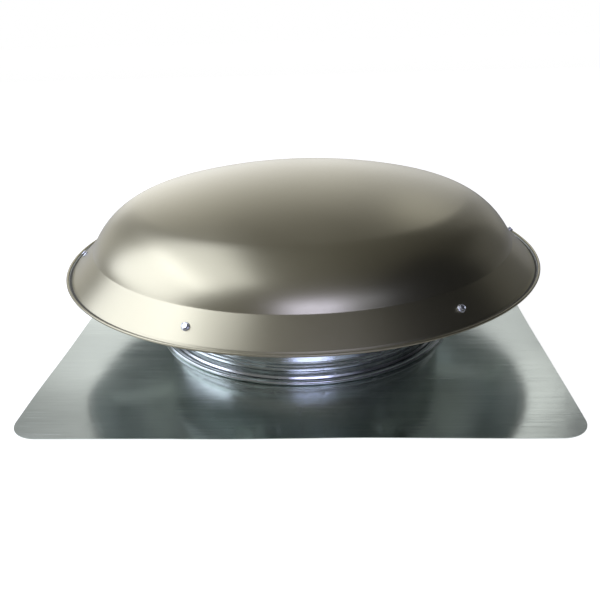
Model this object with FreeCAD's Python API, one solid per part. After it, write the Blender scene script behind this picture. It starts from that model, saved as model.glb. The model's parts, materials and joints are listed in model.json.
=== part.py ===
import FreeCAD, Part
import math
import os

from FreeCAD import Placement, Rotation, Vector

# Powered roof ventilator, in millimetres. The origin is the centre of the flashing's underside, +Z up.
# The hood's front is towards -Y. Angles run from +X, anticlockwise from above.

# Sheet metal
flashing_side = 609.6
flashing_corner_r = 32.0
flashing_t = 0.8
throat_t = 0.8
hood_t = 1.0
sheet_gap = 0.15  # between sheets that lap or nest
past = 1.0  # how far a drill or cutter runs out of the metal

# Throat, outer radius of the plain wall and its formed details
throat_r = 186.5
throat_top = 126.0
roll_reach = 12.2  # from the throat's wall to the ring of the rolled foot
roll_r = 3.1
ridge_out = 1.6
ridge_z = 4.8
ridge_rise = 2.4
bead_z = 17.0
bead_h = 6.4
bead_out = 1.6
groove_h = 4.6
groove_in = 1.6
curl_r = 2.0
neck_above_bead = 1.6
neck_clear = 0.3  # from the neck's edge to the groove above it
seam_angle = -90.2
seam_width = 24.0
hem_sides = 8
bend_chords = 3
fastener_sides = 8

# Hood, measured on its outer face
dome_rise = 81.1  # crown above knee
knee_overhang = 86.7  # level distance from the throat's wall to the knee
knee_above_throat = 0.7
wall_slope = 63.1  # degrees from level, above the knee
skirt_slope = 44.5  # degrees from level, below the knee
shoulder_r = 101.3
knee_straight = 1.6
knee_fillet = 4.0
skirt_width = 28.0  # level distance from knee to valley
valley_fillet = 1.6
flange_width = 8.3  # level distance from valley to rim
rim_bead_r = 2.1
rim_bead_drop = 0.9  # bead centre below the rim's flat flange

# Hood straps and their fasteners
hood_strap_count = 6
hood_strap_first = -112.4
hood_strap_width = 25.0
hood_strap_t = 1.5
hood_strap_below_top = 27.0  # upper bend below the throat's top
hood_strap_foot = 23.0
hood_strap_bend = 3.0
hood_strap_tab = 22.0
hood_screw_inset = 12.7  # level distance from the valley
screw_shank_r = 2.4
screw_washer_r = 4.8
screw_washer_t = 0.9
screw_hex = 7.0
screw_head_h = 3.4
screw_length = 16.0
screw_hole_gap = 0.4
thread_gap = 0.05
seat_gap = 0.1
skirt_seat = 0.3  # a flat tab against the round skirt

# Rivets
rivet_r = 1.6
rivet_head_r = 3.2
rivet_head_h = 1.1
head_taper = 0.75  # top of a rivet's or pan head against its foot
point_taper = 0.3
strap_rivet_pitch = 12.0
seam_rivet_count = 3
seam_rivet_first = 38.0
seam_rivet_pitch = 32.0

# Screen
screen_wire = 1.2
screen_weld = 0.3
screen_uprights = 40
screen_hoops = 4

# Motor straps across the throat
motor_strap_x = 34.0
motor_strap_width = 25.0
motor_strap_t = 2.5
motor_strap_below_top = 50.0  # underside below the throat's top
motor_strap_tab = 16.0

# Motor, hung under its straps with its shaft up
motor_r = 55.0
motor_height = 62.0
bell_depth = 15.0
bell_t = 1.8
bell_corner = 4.0
boss_r = 14.0
boss_out = 7.0
boss_in = 7.0
shell_t = 1.6
shaft_r = 3.97
shaft_above_straps = 40.0
shaft_end_gap = 0.5
shaft_flat_cut = 0.8
shaft_room = 1.0
bearing_r = 8.0
bearing_gap = 0.04
bearing_length = 11.0
bearing_end_gap = 0.01
lip_t = 1.6
washer_t = 1.0
washer_r = 7.0
washer_play = 0.28
collar_r = 6.5
collar_h = 4.0
core_bore_r = 30.4
core_height = 24.0
rotor_r = 30.0
air_fit = 0.2
slot_count = 12
slot_width = 7.0
slot_depth = 11.0
tooth_lip = 2.0
slot_mouth = 1.6
winding_rise = 4.5
winding_gap = 0.3
winding_root = 0.5  # how far the slots' wire runs into the end turns
end_ring_h = 4.0
end_ring_in = 18.0
end_ring_out = 28.0
bell_vents = 8
bell_vent_width = 6.0
bell_vent_in = 20.0
bell_vent_out = 40.0
bolt_r = 2.0
bolt_head_hex = 7.0
bolt_head_h = 3.0
bolt_past_nut = 2.0
nut_h = 3.2

# Fan
fan_tip_gap = 7.9  # from the blades' tips to the throat's wall
fan_above_straps = 24.0
blade_count = 4
blade_t = 1.2
camber_r = 200.0
pitch = 25.0
blade_root_x = 52.0
blade_root_half = 25.0
blade_root_round = 5.0
blade_wide_x = 120.0
blade_wide_half = 43.0
blade_tip_half = 41.0
blade_tip_round = 24.0
blade_side_round = 60.0
arm_t = 2.0
arm_half = 13.0
arm_foot_x = 32.0
arm_lead = 2.0  # the arm is fully turned this far before the blade starts
arm_end_x = 104.0
arm_gap = 0.15
spider_disc_r = 40.0
hub_r = 12.5
hub_flange_r = 20.0
hub_flange_t = 3.0
hub_rise = 12.0
hub_fit = 0.03
set_screw_r = 2.4
socket_hex = 2.4
socket_depth = 2.5
blade_rivet_r = 2.0
blade_rivet_head_r = 3.6
blade_rivet_near = 64.0
blade_rivet_far = 94.0
blade_rivet_side = 8.0

# Wiring box, hung under the motor straps
box_length = 100.0
box_width = 54.0
box_depth = 36.0
box_t = 1.6
box_corner = 4.0
box_from_motor = 7.0
knockout_r = 11.1
knockout_x = -30.5
bushing_r = 6.5
bushing_tube_r = 4.5
bushing_wall = 1.2
bushing_past_box = 1.0
cover_t = 1.2
cover_screw_inset = 8.0
small_screw_r = 1.6
small_head_r = 3.2
small_head_h = 1.8
small_screw_length = 8.0
ground_screw_length = 5.6
ground_screw_side = 13.5  # from the box's middle towards the motor
ground_screw_up = 4.0  # from the box's middle
slot_half = 0.4
hang_screw_past_nut = 0.8
hang_nut_hex = 5.5
hang_nut_h = 2.4
ear_depth = 10.0

# Thermostat
stat_length = 34.0
stat_width = 28.0
stat_depth = 18.0
stat_corner = 2.0
stat_bore_depth = 12.6
spindle_end_gap = 1.0
spindle_r = 3.0
spindle_gap = 0.05
spindle_room = 1.0
dial_r = 15.0
dial_h = 9.0
dial_skirt_h = 2.0
dial_grip_r = 11.0
dial_draft = 0.9  # the grip's nose is smaller by this
dial_gap = 0.5
dial_flutes = 10
dial_flute_r = 1.4
dial_flute_out = 0.6  # flute centres outside the grip
pointer_width = 1.2
pointer_depth = 0.8

up = Vector(0, 0, 1)
origin = Vector(0, 0, 0)


def path(points, closed=False, chords=0):
    """Straight runs through (r, z, corner radius) points in the XZ plane, with tangent arcs at the corners.

    With chords, each arc is that many straight steps, which keeps the small bends of a large ring light.
    """
    count = len(points)
    places = [Vector(p[0], 0, p[1]) for p in points]
    cuts = []
    for i, point in enumerate(points):
        here = places[i]
        radius = point[2] if len(point) > 2 else 0
        inner = closed or 0 < i < count - 1
        if not radius or not inner:
            cuts.append((here, None, here))
            continue
        back = (places[i - 1] - here).normalize()
        ahead = (places[(i + 1) % count] - here).normalize()
        half = back.getAngle(ahead) / 2
        reach = radius / math.tan(half)
        middle = (back + ahead).normalize() * (radius / math.sin(half) - radius)
        cuts.append((here + back * reach, here + middle, here + ahead * reach))
    edges = []
    for i, (start, middle, end) in enumerate(cuts):
        if middle is not None:
            bend = Part.Arc(start, middle, end)
            edges += Part.makePolygon(bend.discretize(chords + 1)).Edges if chords else [bend.toShape()]
        if closed or i < count - 1:
            after = cuts[(i + 1) % count][0]
            if end.distanceToPoint(after) > 1e-6:
                edges.append(Part.LineSegment(end, after).toShape())
    return Part.Wire(edges)


def sheet(wire, thickness):
    """The section of a sheet that lies to the left of an open path, seen with +X right and +Z up."""
    return wire.makeOffset2D(thickness, 2, True, True, False)


def hem(ring_r, z, radius):
    """The section of a rolled hem, with hem_sides flats about the true radius."""
    turn = 2 * math.pi / hem_sides
    corner_r = radius / math.cos(turn / 2)
    corners = []
    for i in range(hem_sides + 1):
        a = turn * (i + 0.5)
        corners.append(Vector(ring_r + corner_r * math.cos(a), 0, z + corner_r * math.sin(a)))
    return Part.Face(Part.makePolygon(corners))


def turned(section, sweep=360.0, start=0.0):
    solid = section.revolve(origin, up, sweep)
    solid.rotate(origin, up, start)
    return solid


def cylinder(radius, low, high, x=0.0, y=0.0):
    return Part.makeCylinder(radius, high - low, Vector(x, y, low))


def ring(inner, outer, low, high):
    return cylinder(outer, low, high).cut(cylinder(inner, low - past, high + past))


def block(x0, x1, y0, y1, z0, z1):
    return Part.makeBox(x1 - x0, y1 - y0, z1 - z0, Vector(x0, y0, z0))


def rounded_block(x0, x1, y0, y1, z0, z1, radius):
    """A block whose upright edges are rounded."""
    solid = block(x0, x1, y0, y1, z0, z1)
    uprights = [e for e in solid.Edges if abs(e.tangentAt(e.FirstParameter).z) > 0.9]
    return solid.makeFillet(radius, uprights)


def polygon(radius, sides, z, x=0.0, y=0.0):
    corners = []
    for i in range(sides + 1):
        a = 2 * math.pi * i / sides
        corners.append(Vector(x + radius * math.cos(a), y + radius * math.sin(a), z))
    return Part.makePolygon(corners)


def hexagon(flats, low, high, x=0.0, y=0.0):
    outline = polygon(flats / math.sqrt(3), 6, low, x, y)
    return Part.Face(outline).extrude(Vector(0, 0, high - low))


def post(radius, low, high, x=0.0, y=0.0):
    """A small round shank or hole, with fastener_sides flats about the true radius."""
    corner_r = radius / math.cos(math.pi / fastener_sides)
    return Part.Face(polygon(corner_r, fastener_sides, low, x, y)).extrude(Vector(0, 0, high - low))


def dome(low_r, high_r, low, high):
    """A small tapered head with fastener_sides flats."""
    outlines = [polygon(low_r, fastener_sides, low), polygon(high_r, fastener_sides, high)]
    return Part.makeLoft(outlines, True, True)


def placed(shape, point, direction):
    """A shape built along +Z from the origin, moved so that +Z points along direction from point."""
    moved = shape.copy()
    moved.Placement = Placement(point, Rotation(up, direction))
    return moved


def round_about(shape, angle):
    moved = shape.copy()
    moved.rotate(origin, up, angle)
    return moved


def polar(radius, angle, z):
    a = math.radians(angle)
    return Vector(radius * math.cos(a), radius * math.sin(a), z)


def joined(shapes):
    whole = shapes[0].fuse(shapes[1:])
    return whole.removeSplitter()


def save(node, shape):
    if isinstance(shape, list):
        shape = Part.makeCompound(shape)
    shape.exportStep("parts/" + node + ".step")


def rivet(grip, shank, head):
    """Along +Z, through sheets from z = 0 to z = grip, with a head on each side."""
    tail_z = grip + seat_gap
    tail = dome(head, head * head_taper, tail_z, tail_z + rivet_head_h)
    nose = dome(head * head_taper, head, -seat_gap - rivet_head_h, -seat_gap)
    return joined([post(shank, -seat_gap - rivet_head_h / 2, tail_z + rivet_head_h / 2), tail, nose])


def washer_head_screw():
    """Along +Z: the washer's face at z = 0 and the shank below it, with a short point."""
    washer = cylinder(screw_washer_r, 0, screw_washer_t)
    head = hexagon(screw_hex, screw_washer_t, screw_head_h)
    point_h = screw_shank_r
    shank = post(screw_shank_r, point_h - screw_length, 0)
    point = dome(screw_shank_r * point_taper, screw_shank_r, -screw_length, point_h - screw_length)
    return joined([washer, head, shank, point])


def pan_head_screw(length):
    """Along +Z: the head's face at z = 0 and the shank below it, with a slot across the head."""
    head = dome(small_head_r, small_head_r * head_taper, 0, small_head_h)
    slot = block(-small_head_r, small_head_r, -slot_half, slot_half, small_head_h / 2, small_head_h + past)
    return joined([post(small_screw_r, -length, 0), head]).cut(slot)


# Base flashing and throat

foot_z = flashing_t
roll_ring_r = throat_r + roll_reach
flange_top = foot_z + throat_t
throat_in = throat_r - throat_t
neck_r = throat_in - sheet_gap
neck_top = bead_z + bead_h / 2 + neck_above_bead
groove_z = neck_top + neck_clear + groove_h / 2
ridge_foot = (throat_r, ridge_z + ridge_rise)


def beaded(radius, low):
    """The wall's outer line from low to the top of its locking bead."""
    return [
        (radius, low),
        (radius, bead_z - bead_h / 2),
        (radius + bead_out, bead_z - bead_h / 4),
        (radius + bead_out, bead_z + bead_h / 4),
        (radius, bead_z + bead_h / 2),
    ]


def make_flashing():
    half = flashing_side / 2
    plate = rounded_block(-half, half, -half, half, 0, flashing_t, flashing_corner_r)
    plate = plate.cut(cylinder(neck_r - flashing_t / 2, -past, flashing_t + past))
    wall_line = path(beaded(throat_r, 0) + [(throat_r, neck_top)])
    neck_line = wall_line.makeOffset2D(throat_t + sheet_gap, 2, False, True, False)
    neck = turned(sheet(neck_line, flashing_t))
    return joined([plate, neck])


def throat_line():
    foot = [
        (roll_ring_r, flange_top),
        (throat_r + ridge_out, flange_top),
        (throat_r + ridge_out, ridge_z),
    ]
    groove = [
        (throat_r, groove_z - groove_h / 2),
        (throat_r - groove_in, groove_z - groove_h / 6),
        (throat_r - groove_in, groove_z + groove_h / 6),
        (throat_r, groove_z + groove_h / 2),
    ]
    return foot + beaded(throat_r, ridge_foot[1]) + groove + [(throat_r, throat_top - curl_r)]


def make_throat():
    line = throat_line()
    wall = turned(sheet(path(line), throat_t))
    foot = turned(hem(roll_ring_r, foot_z + roll_r, roll_r))
    curl = turned(hem(throat_in + curl_r, throat_top - curl_r, curl_r))
    seam_sweep = math.degrees(seam_width / throat_r)
    lap_line = line[line.index(ridge_foot):-1] + [(throat_r, throat_top - 2 * curl_r)]
    lap = turned(sheet(path(lap_line), -throat_t), seam_sweep, seam_angle - seam_sweep / 2)
    body = joined([wall, foot, curl, lap])
    for hole in wall_holes:
        body = body.cut(hole)
    return body


# Fasteners in the throat's wall: each is a rivet along the outward radius.

def wall_rivet(angle, z, inside, outside):
    """A rivet through the wall and sheets of the given thickness inside and outside it."""
    one = rivet(throat_t + inside + outside, rivet_r, rivet_head_r)
    return round_about(placed(one, Vector(throat_in - inside, 0, z), Vector(1, 0, 0)), angle)


def wall_hole(angle, z, inside, outside):
    drill = post(rivet_r + thread_gap, -past, throat_t + inside + outside + past)
    return round_about(placed(drill, Vector(throat_in - inside, 0, z), Vector(1, 0, 0)), angle)


hood_strap_high = throat_top - hood_strap_below_top
hood_strap_low = hood_strap_high - hood_strap_foot
hood_strap_angles = [hood_strap_first + 360 / hood_strap_count * i for i in range(hood_strap_count)]
strap_hole_z = (hood_strap_low + hood_strap_high) / 2
rivet_side = strap_rivet_pitch / 2 / throat_r  # radians from a strap's middle
rivet_turn = math.degrees(rivet_side)
flat_lift = throat_r * (1 / math.cos(rivet_side) - 1) + rivet_head_r * math.tan(rivet_side)
strap_hold = hood_strap_t + seat_gap + flat_lift
hood_strap_rivet_places = [
    (angle + side * rivet_turn, strap_hole_z)
    for angle in hood_strap_angles
    for side in (-1, 1)
]
motor_strap_z = throat_top - motor_strap_below_top
motor_tab_z = motor_strap_z + motor_strap_t - motor_strap_tab / 2
motor_tab_angle = math.degrees(math.acos(motor_strap_x / throat_in))
motor_tab_angles = [motor_tab_angle, 180 - motor_tab_angle, 180 + motor_tab_angle, -motor_tab_angle]
tab_hold = motor_strap_t + sheet_gap
motor_strap_rivet_places = [
    (angle + side * rivet_turn, motor_tab_z)
    for angle in motor_tab_angles
    for side in (-1, 1)
]
seam_rivet_places = [(seam_angle, seam_rivet_first + seam_rivet_pitch * i) for i in range(seam_rivet_count)]
wall_holes = [wall_hole(a, z, 0, strap_hold) for a, z in hood_strap_rivet_places]
wall_holes += [wall_hole(a, z, tab_hold, 0) for a, z in motor_strap_rivet_places]
wall_holes += [wall_hole(a, z, 0, throat_t) for a, z in seam_rivet_places]


# Hood

knee_r = throat_r + knee_overhang
knee_z = throat_top + knee_above_throat
hood_top = knee_z + dome_rise
skirt_end_r = knee_r + skirt_width
rim_r = skirt_end_r + flange_width
hood_screw_r = skirt_end_r - hood_screw_inset


def slope_point(start, angle, distance):
    a = math.radians(angle)
    return (start[0] + distance * math.cos(a), start[1] + distance * math.sin(a))


def skirt_z(radius):
    return knee_z - (radius - knee_r) * math.tan(math.radians(skirt_slope))


def hood_line():
    """The outer line from the crown's middle to the flange's edge."""
    wall_end = slope_point((knee_r, knee_z), 180 - wall_slope, knee_straight)
    lean = math.radians(90 - wall_slope)
    centre = (wall_end[0] - shoulder_r * math.cos(lean), wall_end[1] - shoulder_r * math.sin(lean))
    rise = centre[1] - hood_top
    crown_r = (shoulder_r**2 - centre[0] ** 2 - rise**2) / (2 * (rise + shoulder_r))
    crown_z = hood_top - crown_r
    toward = math.atan2(centre[1] - crown_z, centre[0])
    meet = (crown_r * math.cos(toward), crown_z + crown_r * math.sin(toward))
    halfway = (toward + math.pi / 2) / 2
    crown_mid = (crown_r * math.cos(halfway), crown_z + crown_r * math.sin(halfway))
    between = (toward + lean) / 2
    shoulder_mid = (centre[0] + shoulder_r * math.cos(between), centre[1] + shoulder_r * math.sin(between))
    flat_z = skirt_z(skirt_end_r)
    brim = path([
        wall_end,
        (knee_r, knee_z, knee_fillet),
        (skirt_end_r, flat_z, valley_fillet),
        (rim_r - rim_bead_r, flat_z),
    ], chords=bend_chords)
    arcs = [
        Part.Arc(*[Vector(p[0], 0, p[1]) for p in ((0, hood_top), crown_mid, meet)]).toShape(),
        Part.Arc(*[Vector(p[0], 0, p[1]) for p in (meet, shoulder_mid, wall_end)]).toShape(),
    ]
    return Part.Wire(arcs + brim.Edges)


def skirt_frame():
    """Where a hood screw meets the skirt's outer face towards +X, and the face's outward normal."""
    a = math.radians(skirt_slope)
    return Vector(hood_screw_r, 0, skirt_z(hood_screw_r)), Vector(math.sin(a), 0, math.cos(a))


def make_hood():
    shell = turned(sheet(hood_line(), -hood_t))
    bead = turned(hem(rim_r - rim_bead_r, skirt_z(skirt_end_r) - rim_bead_drop, rim_bead_r))
    hood = joined([shell, bead])
    drill = placed(cylinder(screw_shank_r + screw_hole_gap, -4 * hood_t, 4 * hood_t), *skirt_frame())
    for angle in hood_strap_angles:
        hood = hood.cut(round_about(drill, angle))
    return hood


def make_hood_strap(angle):
    """A strap from the throat's wall up and out to the skirt, where its tab carries a screw."""
    point, normal = skirt_frame()
    down = Vector(math.cos(math.radians(skirt_slope)), 0, -math.sin(math.radians(skirt_slope)))
    face = point - normal * (hood_t + skirt_seat)
    top = face - down * (hood_strap_tab / 2)
    end = face + down * (hood_strap_tab / 2)
    foot_r = throat_r + seat_gap
    line = path([
        (end.x, end.z),
        (top.x, top.z, hood_strap_bend),
        (foot_r, hood_strap_high, hood_strap_bend),
        (foot_r, hood_strap_low),
    ])
    section = sheet(line, hood_strap_t)
    strap = section.extrude(Vector(0, hood_strap_width, 0))
    strap.translate(Vector(0, -hood_strap_width / 2, 0))
    pilot = placed(post(screw_shank_r + thread_gap, -screw_length, 0), point, normal)
    rivet_holes = [wall_hole(a, strap_hole_z, 0, strap_hold) for a in (-rivet_turn, rivet_turn)]
    return round_about(strap.cut([pilot] + rivet_holes), angle)


def make_hood_screws():
    point, normal = skirt_frame()
    screw = placed(washer_head_screw(), point + normal * seat_gap, normal)
    return [round_about(screw, angle) for angle in hood_strap_angles]


# Screen: welded wire mesh bent into a band, its uprights let into the outside of its hoops

def dome_inside(radius):
    """Height of the hood's inner face over a point of the shoulder."""
    wall_end = slope_point((knee_r, knee_z), 180 - wall_slope, knee_straight)
    lean = math.radians(90 - wall_slope)
    centre_r = wall_end[0] - shoulder_r * math.cos(lean)
    centre_z = wall_end[1] - shoulder_r * math.sin(lean)
    return centre_z + math.sqrt((shoulder_r - hood_t) ** 2 - (radius - centre_r) ** 2)


def make_screen():
    hoop_r = throat_in + curl_r
    upright_r = hoop_r + screen_wire - screen_weld
    low = throat_top + seat_gap
    high = dome_inside(upright_r + screen_wire) - skirt_seat
    step = 360 / screen_uprights
    upright = block(upright_r, upright_r + screen_wire, -screen_wire / 2, screen_wire / 2, low, high)
    uprights = [round_about(upright, step * i) for i in range(screen_uprights)]
    disc, hole = [Part.Face(polygon(r, screen_uprights, low)) for r in (hoop_r + screen_wire, hoop_r)]
    hoop = disc.cut(hole).extrude(Vector(0, 0, screen_wire))
    hoops = []
    for i in range(screen_hoops):
        lifted = hoop.copy()
        lifted.translate(up * ((high - low - screen_wire) * i / (screen_hoops - 1)))
        hoops.append(lifted)
    return hoops[0].fuse(hoops[1:] + uprights)


# Motor straps, motor and its fasteners

strap_top = motor_strap_z + motor_strap_t
motor_top = motor_strap_z
motor_bottom = motor_top - motor_height
shaft_top = motor_strap_z + shaft_above_straps
shaft_flat_x = shaft_r - shaft_flat_cut
bolt_places = [(sx * motor_strap_x, sy * motor_strap_x) for sx in (-1, 1) for sy in (-1, 1)]
box_near = motor_r + box_from_motor
box_far = box_near + box_width
box_top = motor_strap_z
box_low = box_top - box_depth
hang_places = [(-motor_strap_x, (box_near + box_far) / 2), (motor_strap_x, (box_near + box_far) / 2)]


def make_motor_strap(side):
    half = motor_strap_width / 2
    x = side * motor_strap_x
    reach = throat_in - sheet_gap
    column = block(x - half, x + half, -reach, reach, motor_strap_z - motor_strap_tab, strap_top)
    flat = cylinder(reach, motor_strap_z, strap_top)
    skirts = ring(reach - motor_strap_t, reach, strap_top - motor_strap_tab, strap_top)
    strap = joined([flat.common(column), skirts.common(column)])
    through = (motor_strap_z - past, strap_top + past)
    holes = [cylinder(bolt_r + thread_gap, *through, *p) for p in bolt_places]
    holes += [post(small_screw_r + thread_gap, *through, *p) for p in hang_places]
    holes += [wall_hole(a, z, tab_hold, 0) for a, z in motor_strap_rivet_places]
    for hole in holes:
        strap = strap.cut(hole)
    return strap


def bell(flat_z, inward):
    """An end bell whose flat outer face is at flat_z; inward is +1 where the motor lies above it."""
    rim = flat_z + inward * bell_depth
    line = path([
        (0, flat_z),
        (motor_r, flat_z, bell_corner),
        (motor_r, rim),
    ], chords=bend_chords)
    cup = turned(sheet(line, inward * bell_t))
    boss_ends = sorted((flat_z - inward * boss_out, flat_z + inward * boss_in))
    body = joined([cup, cylinder(boss_r, *boss_ends)])
    vent_mid = flat_z + inward * bell_t / 2
    for i in range(bell_vents):
        vent = block(bell_vent_in, bell_vent_out, -bell_vent_width / 2, bell_vent_width / 2,
                     vent_mid - bell_t, vent_mid + bell_t)
        body = body.cut(round_about(vent, 360 / bell_vents * i))
    for p in bolt_places:
        body = body.cut(cylinder(bolt_r + seat_gap, flat_z - bell_t - past, flat_z + bell_t + past, *p))
    return body


def bearing_span(flat_z, inward):
    """Low and high end of the sleeve bearing in a bell's boss."""
    outer_end = flat_z - inward * (boss_out - lip_t)
    return sorted((outer_end, outer_end + inward * bearing_length))


def make_bell(flat_z, inward, through):
    pocket_end = flat_z + inward * (boss_in + past)
    outer_end = flat_z - inward * (boss_out - lip_t)
    body = bell(flat_z, inward)
    pocket = sorted((outer_end - inward * bearing_end_gap, pocket_end))
    body = body.cut(cylinder(bearing_r + sheet_gap, *pocket))
    if through:
        mouth = flat_z - inward * (boss_out + past)
        body = body.cut(cylinder(shaft_r + shaft_room, *sorted((mouth, outer_end + inward * past))))
    return body


def make_bearing(flat_z, inward):
    low, high = bearing_span(flat_z, inward)
    return ring(shaft_r + bearing_gap, bearing_r, low, high)


upper_low, upper_high = bearing_span(motor_top, -1)
lower_low, lower_high = bearing_span(motor_bottom, 1)
shell_low = motor_bottom + bell_depth
shell_high = motor_top - bell_depth
core_mid = (shell_low + shell_high) / 2
core_low = core_mid - core_height / 2
core_high = core_mid + core_height / 2
core_r = motor_r - shell_t - air_fit
slot_out = core_bore_r + tooth_lip + slot_depth


def make_shell():
    shell = ring(motor_r - shell_t, motor_r, shell_low, shell_high)
    lead_z = core_mid
    drill = Part.makeCylinder(bushing_tube_r + sheet_gap, 4 * shell_t, Vector(0, motor_r - 2 * shell_t, lead_z),
                              Vector(0, 1, 0))
    return shell.cut(drill)


def slot_cells(grow, low, high):
    """The stator's winding slots as wedges between the bore's lip and the slots' bottoms."""
    cells = []
    for i in range(slot_count):
        cell = block(core_bore_r + tooth_lip + grow, slot_out - grow, -slot_width / 2 + grow,
                     slot_width / 2 - grow, low, high)
        cells.append(round_about(cell, 360 / slot_count * (i + 0.5)))
    return cells


def make_core():
    core = ring(core_bore_r, core_r, core_low, core_high)
    low, high = core_low - past, core_high + past
    cuts = slot_cells(0, low, high)
    for i in range(slot_count):
        mouth = block(core_bore_r - past, core_bore_r + tooth_lip + past,
                      -slot_mouth / 2, slot_mouth / 2, low, high)
        cuts.append(round_about(mouth, 360 / slot_count * (i + 0.5)))
    cuts += [cylinder(bolt_r + seat_gap, low, high, *p) for p in bolt_places]
    return core.cut(cuts)


def make_windings():
    low = core_low - winding_gap
    high = core_high + winding_gap
    inner = core_bore_r + tooth_lip + winding_gap
    outer = slot_out - winding_gap
    turns = [ring(inner, outer, low - winding_rise, low), ring(inner, outer, high, high + winding_rise)]
    return joined(turns + slot_cells(winding_gap, low - winding_root, high + winding_root))


def make_rotor():
    core = ring(shaft_r + hub_fit, rotor_r, core_low, core_high)
    rise = end_ring_h
    ends = [ring(end_ring_in, end_ring_out, core_low - rise, core_low),
            ring(end_ring_in, end_ring_out, core_high, core_high + rise)]
    return joined([core] + ends)


def make_washers():
    bore = shaft_r + washer_play
    return [ring(bore, washer_r, lower_high + seat_gap, lower_high + seat_gap + washer_t),
            ring(bore, washer_r, upper_low - seat_gap - washer_t, upper_low - seat_gap)]


def make_collars():
    bore = shaft_r + hub_fit
    low = lower_high + 2 * seat_gap + washer_t
    high = upper_low - 2 * seat_gap - washer_t
    return [ring(bore, collar_r, low, low + collar_h), ring(bore, collar_r, high - collar_h, high)]


def make_shaft():
    shaft = cylinder(shaft_r, lower_low + shaft_end_gap, shaft_top)
    flat = block(shaft_flat_x, shaft_r + past, -shaft_r, shaft_r, hub_low, shaft_top + past)
    return shaft.cut(flat)


def make_tie_bolts():
    end = strap_top + seat_gap + nut_h + bolt_past_nut
    bolts = []
    for x, y in bolt_places:
        head = hexagon(bolt_head_hex, motor_bottom - seat_gap - bolt_head_h, motor_bottom - seat_gap, x, y)
        bolts.append(joined([head, cylinder(bolt_r, motor_bottom - seat_gap, end, x, y)]))
    return bolts


def make_nuts():
    low = strap_top + seat_gap
    nuts = []
    for x, y in bolt_places:
        nut = hexagon(bolt_head_hex, low, low + nut_h, x, y)
        nuts.append(nut.cut(cylinder(bolt_r + thread_gap, low - past, low + nut_h + past, x, y)))
    return nuts


# Fan: cambered blades riveted to a pressed spider, whose arms twist from its flat disc to the blades' pitch

fan_r = throat_in - fan_tip_gap
fan_z = motor_strap_z + fan_above_straps
arm_high = -blade_t / 2 - arm_gap
arm_low = arm_high - arm_t
turn_end = blade_root_x - arm_lead
disc_low = fan_z + arm_low
disc_high = fan_z + arm_high
hub_low = disc_low - hub_flange_t
hub_high = disc_high + hub_rise
blade_angles = [360 / blade_count * i for i in range(blade_count)]
blade_rivets = [
    (blade_rivet_near, 0.0), (blade_rivet_far, -blade_rivet_side), (blade_rivet_far, blade_rivet_side),
]


def camber_point(x, along, above):
    """A point at radius x, along the chord from mid-blade and above the blade's middle surface."""
    p = math.radians(pitch)
    chord = Vector(0, math.cos(p), -math.sin(p))
    normal = Vector(0, math.sin(p), math.cos(p))
    turn = along / camber_r
    reach = camber_r - above
    lift = normal * (camber_r - reach * math.cos(turn))
    return Vector(x, 0, fan_z) + lift + chord * (reach * math.sin(turn))


def camber_section(x, half, low, high):
    corners = [camber_point(x, side * half, z) for z, side in ((low, -1), (low, 1), (high, 1), (high, -1))]
    return Part.Wire([
        Part.Arc(corners[0], camber_point(x, 0, low), corners[1]).toShape(),
        Part.LineSegment(corners[1], corners[2]).toShape(),
        Part.Arc(corners[2], camber_point(x, 0, high), corners[3]).toShape(),
        Part.LineSegment(corners[3], corners[0]).toShape(),
    ])


def camber_plate(x0, x1, half, low, high):
    return Part.Face(camber_section(x0, half, low, high)).extrude(Vector(x1 - x0, 0, 0))


def blade_rivet_frame(x, along):
    point = camber_point(x, along, arm_low)
    return point, (camber_point(x, along, 0) - point).normalize()


def blade_rivet_drills():
    drills = []
    for x, along in blade_rivets:
        point, normal = blade_rivet_frame(x, along)
        drills.append(placed(post(blade_rivet_r + thread_gap, -2 * arm_t, 4 * arm_t), point, normal))
    return drills


def make_blade(angle):
    root = blade_root_x
    slab = camber_plate(root, fan_r + past, 2 * blade_wide_half, -blade_t / 2, blade_t / 2)
    outline = path([
        (root, -blade_root_half, blade_root_round),
        (blade_wide_x, -blade_wide_half, blade_side_round),
        (fan_r + past, -blade_tip_half, blade_tip_round),
        (fan_r + past, blade_tip_half, blade_tip_round),
        (blade_wide_x, blade_wide_half, blade_side_round),
        (root, blade_root_half, blade_root_round),
    ], True)
    planform = Part.Face(outline).extrude(Vector(0, 2 * blade_wide_half, 0))
    planform.translate(Vector(0, -blade_wide_half, 0))
    planform.rotate(origin, Vector(1, 0, 0), -90 - pitch)
    planform.translate(Vector(0, 0, fan_z))
    blade = slab.common(planform).common(cylinder(fan_r, 0, 2 * fan_z))
    return round_about(blade.cut(blade_rivet_drills()), angle)


def make_spider():
    disc = ring(hub_r + thread_gap, spider_disc_r, disc_low, disc_high)
    corners = [(-arm_half, disc_low), (arm_half, disc_low), (arm_half, disc_high), (-arm_half, disc_high)]
    flat = Part.makePolygon([Vector(spider_disc_r, y, z) for y, z in corners + corners[:1]])
    foot = block(arm_foot_x, spider_disc_r, -arm_half, arm_half, disc_low, disc_high)
    twist = Part.makeLoft([flat, camber_section(turn_end, arm_half, arm_low, arm_high)], True, True)
    arm = joined([foot, twist, camber_plate(turn_end, arm_end_x, arm_half, arm_low, arm_high)])
    arm = arm.cut(blade_rivet_drills())
    return joined([disc] + [round_about(arm, a) for a in blade_angles])


def make_hub():
    boss = cylinder(hub_r, hub_low, hub_high)
    flange = cylinder(hub_flange_r, hub_low, disc_low)
    hub = joined([boss, flange]).cut(cylinder(shaft_r + hub_fit, hub_low - past, hub_high + past))
    return hub.cut(set_screw_post(set_screw_r + thread_gap, past))


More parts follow.
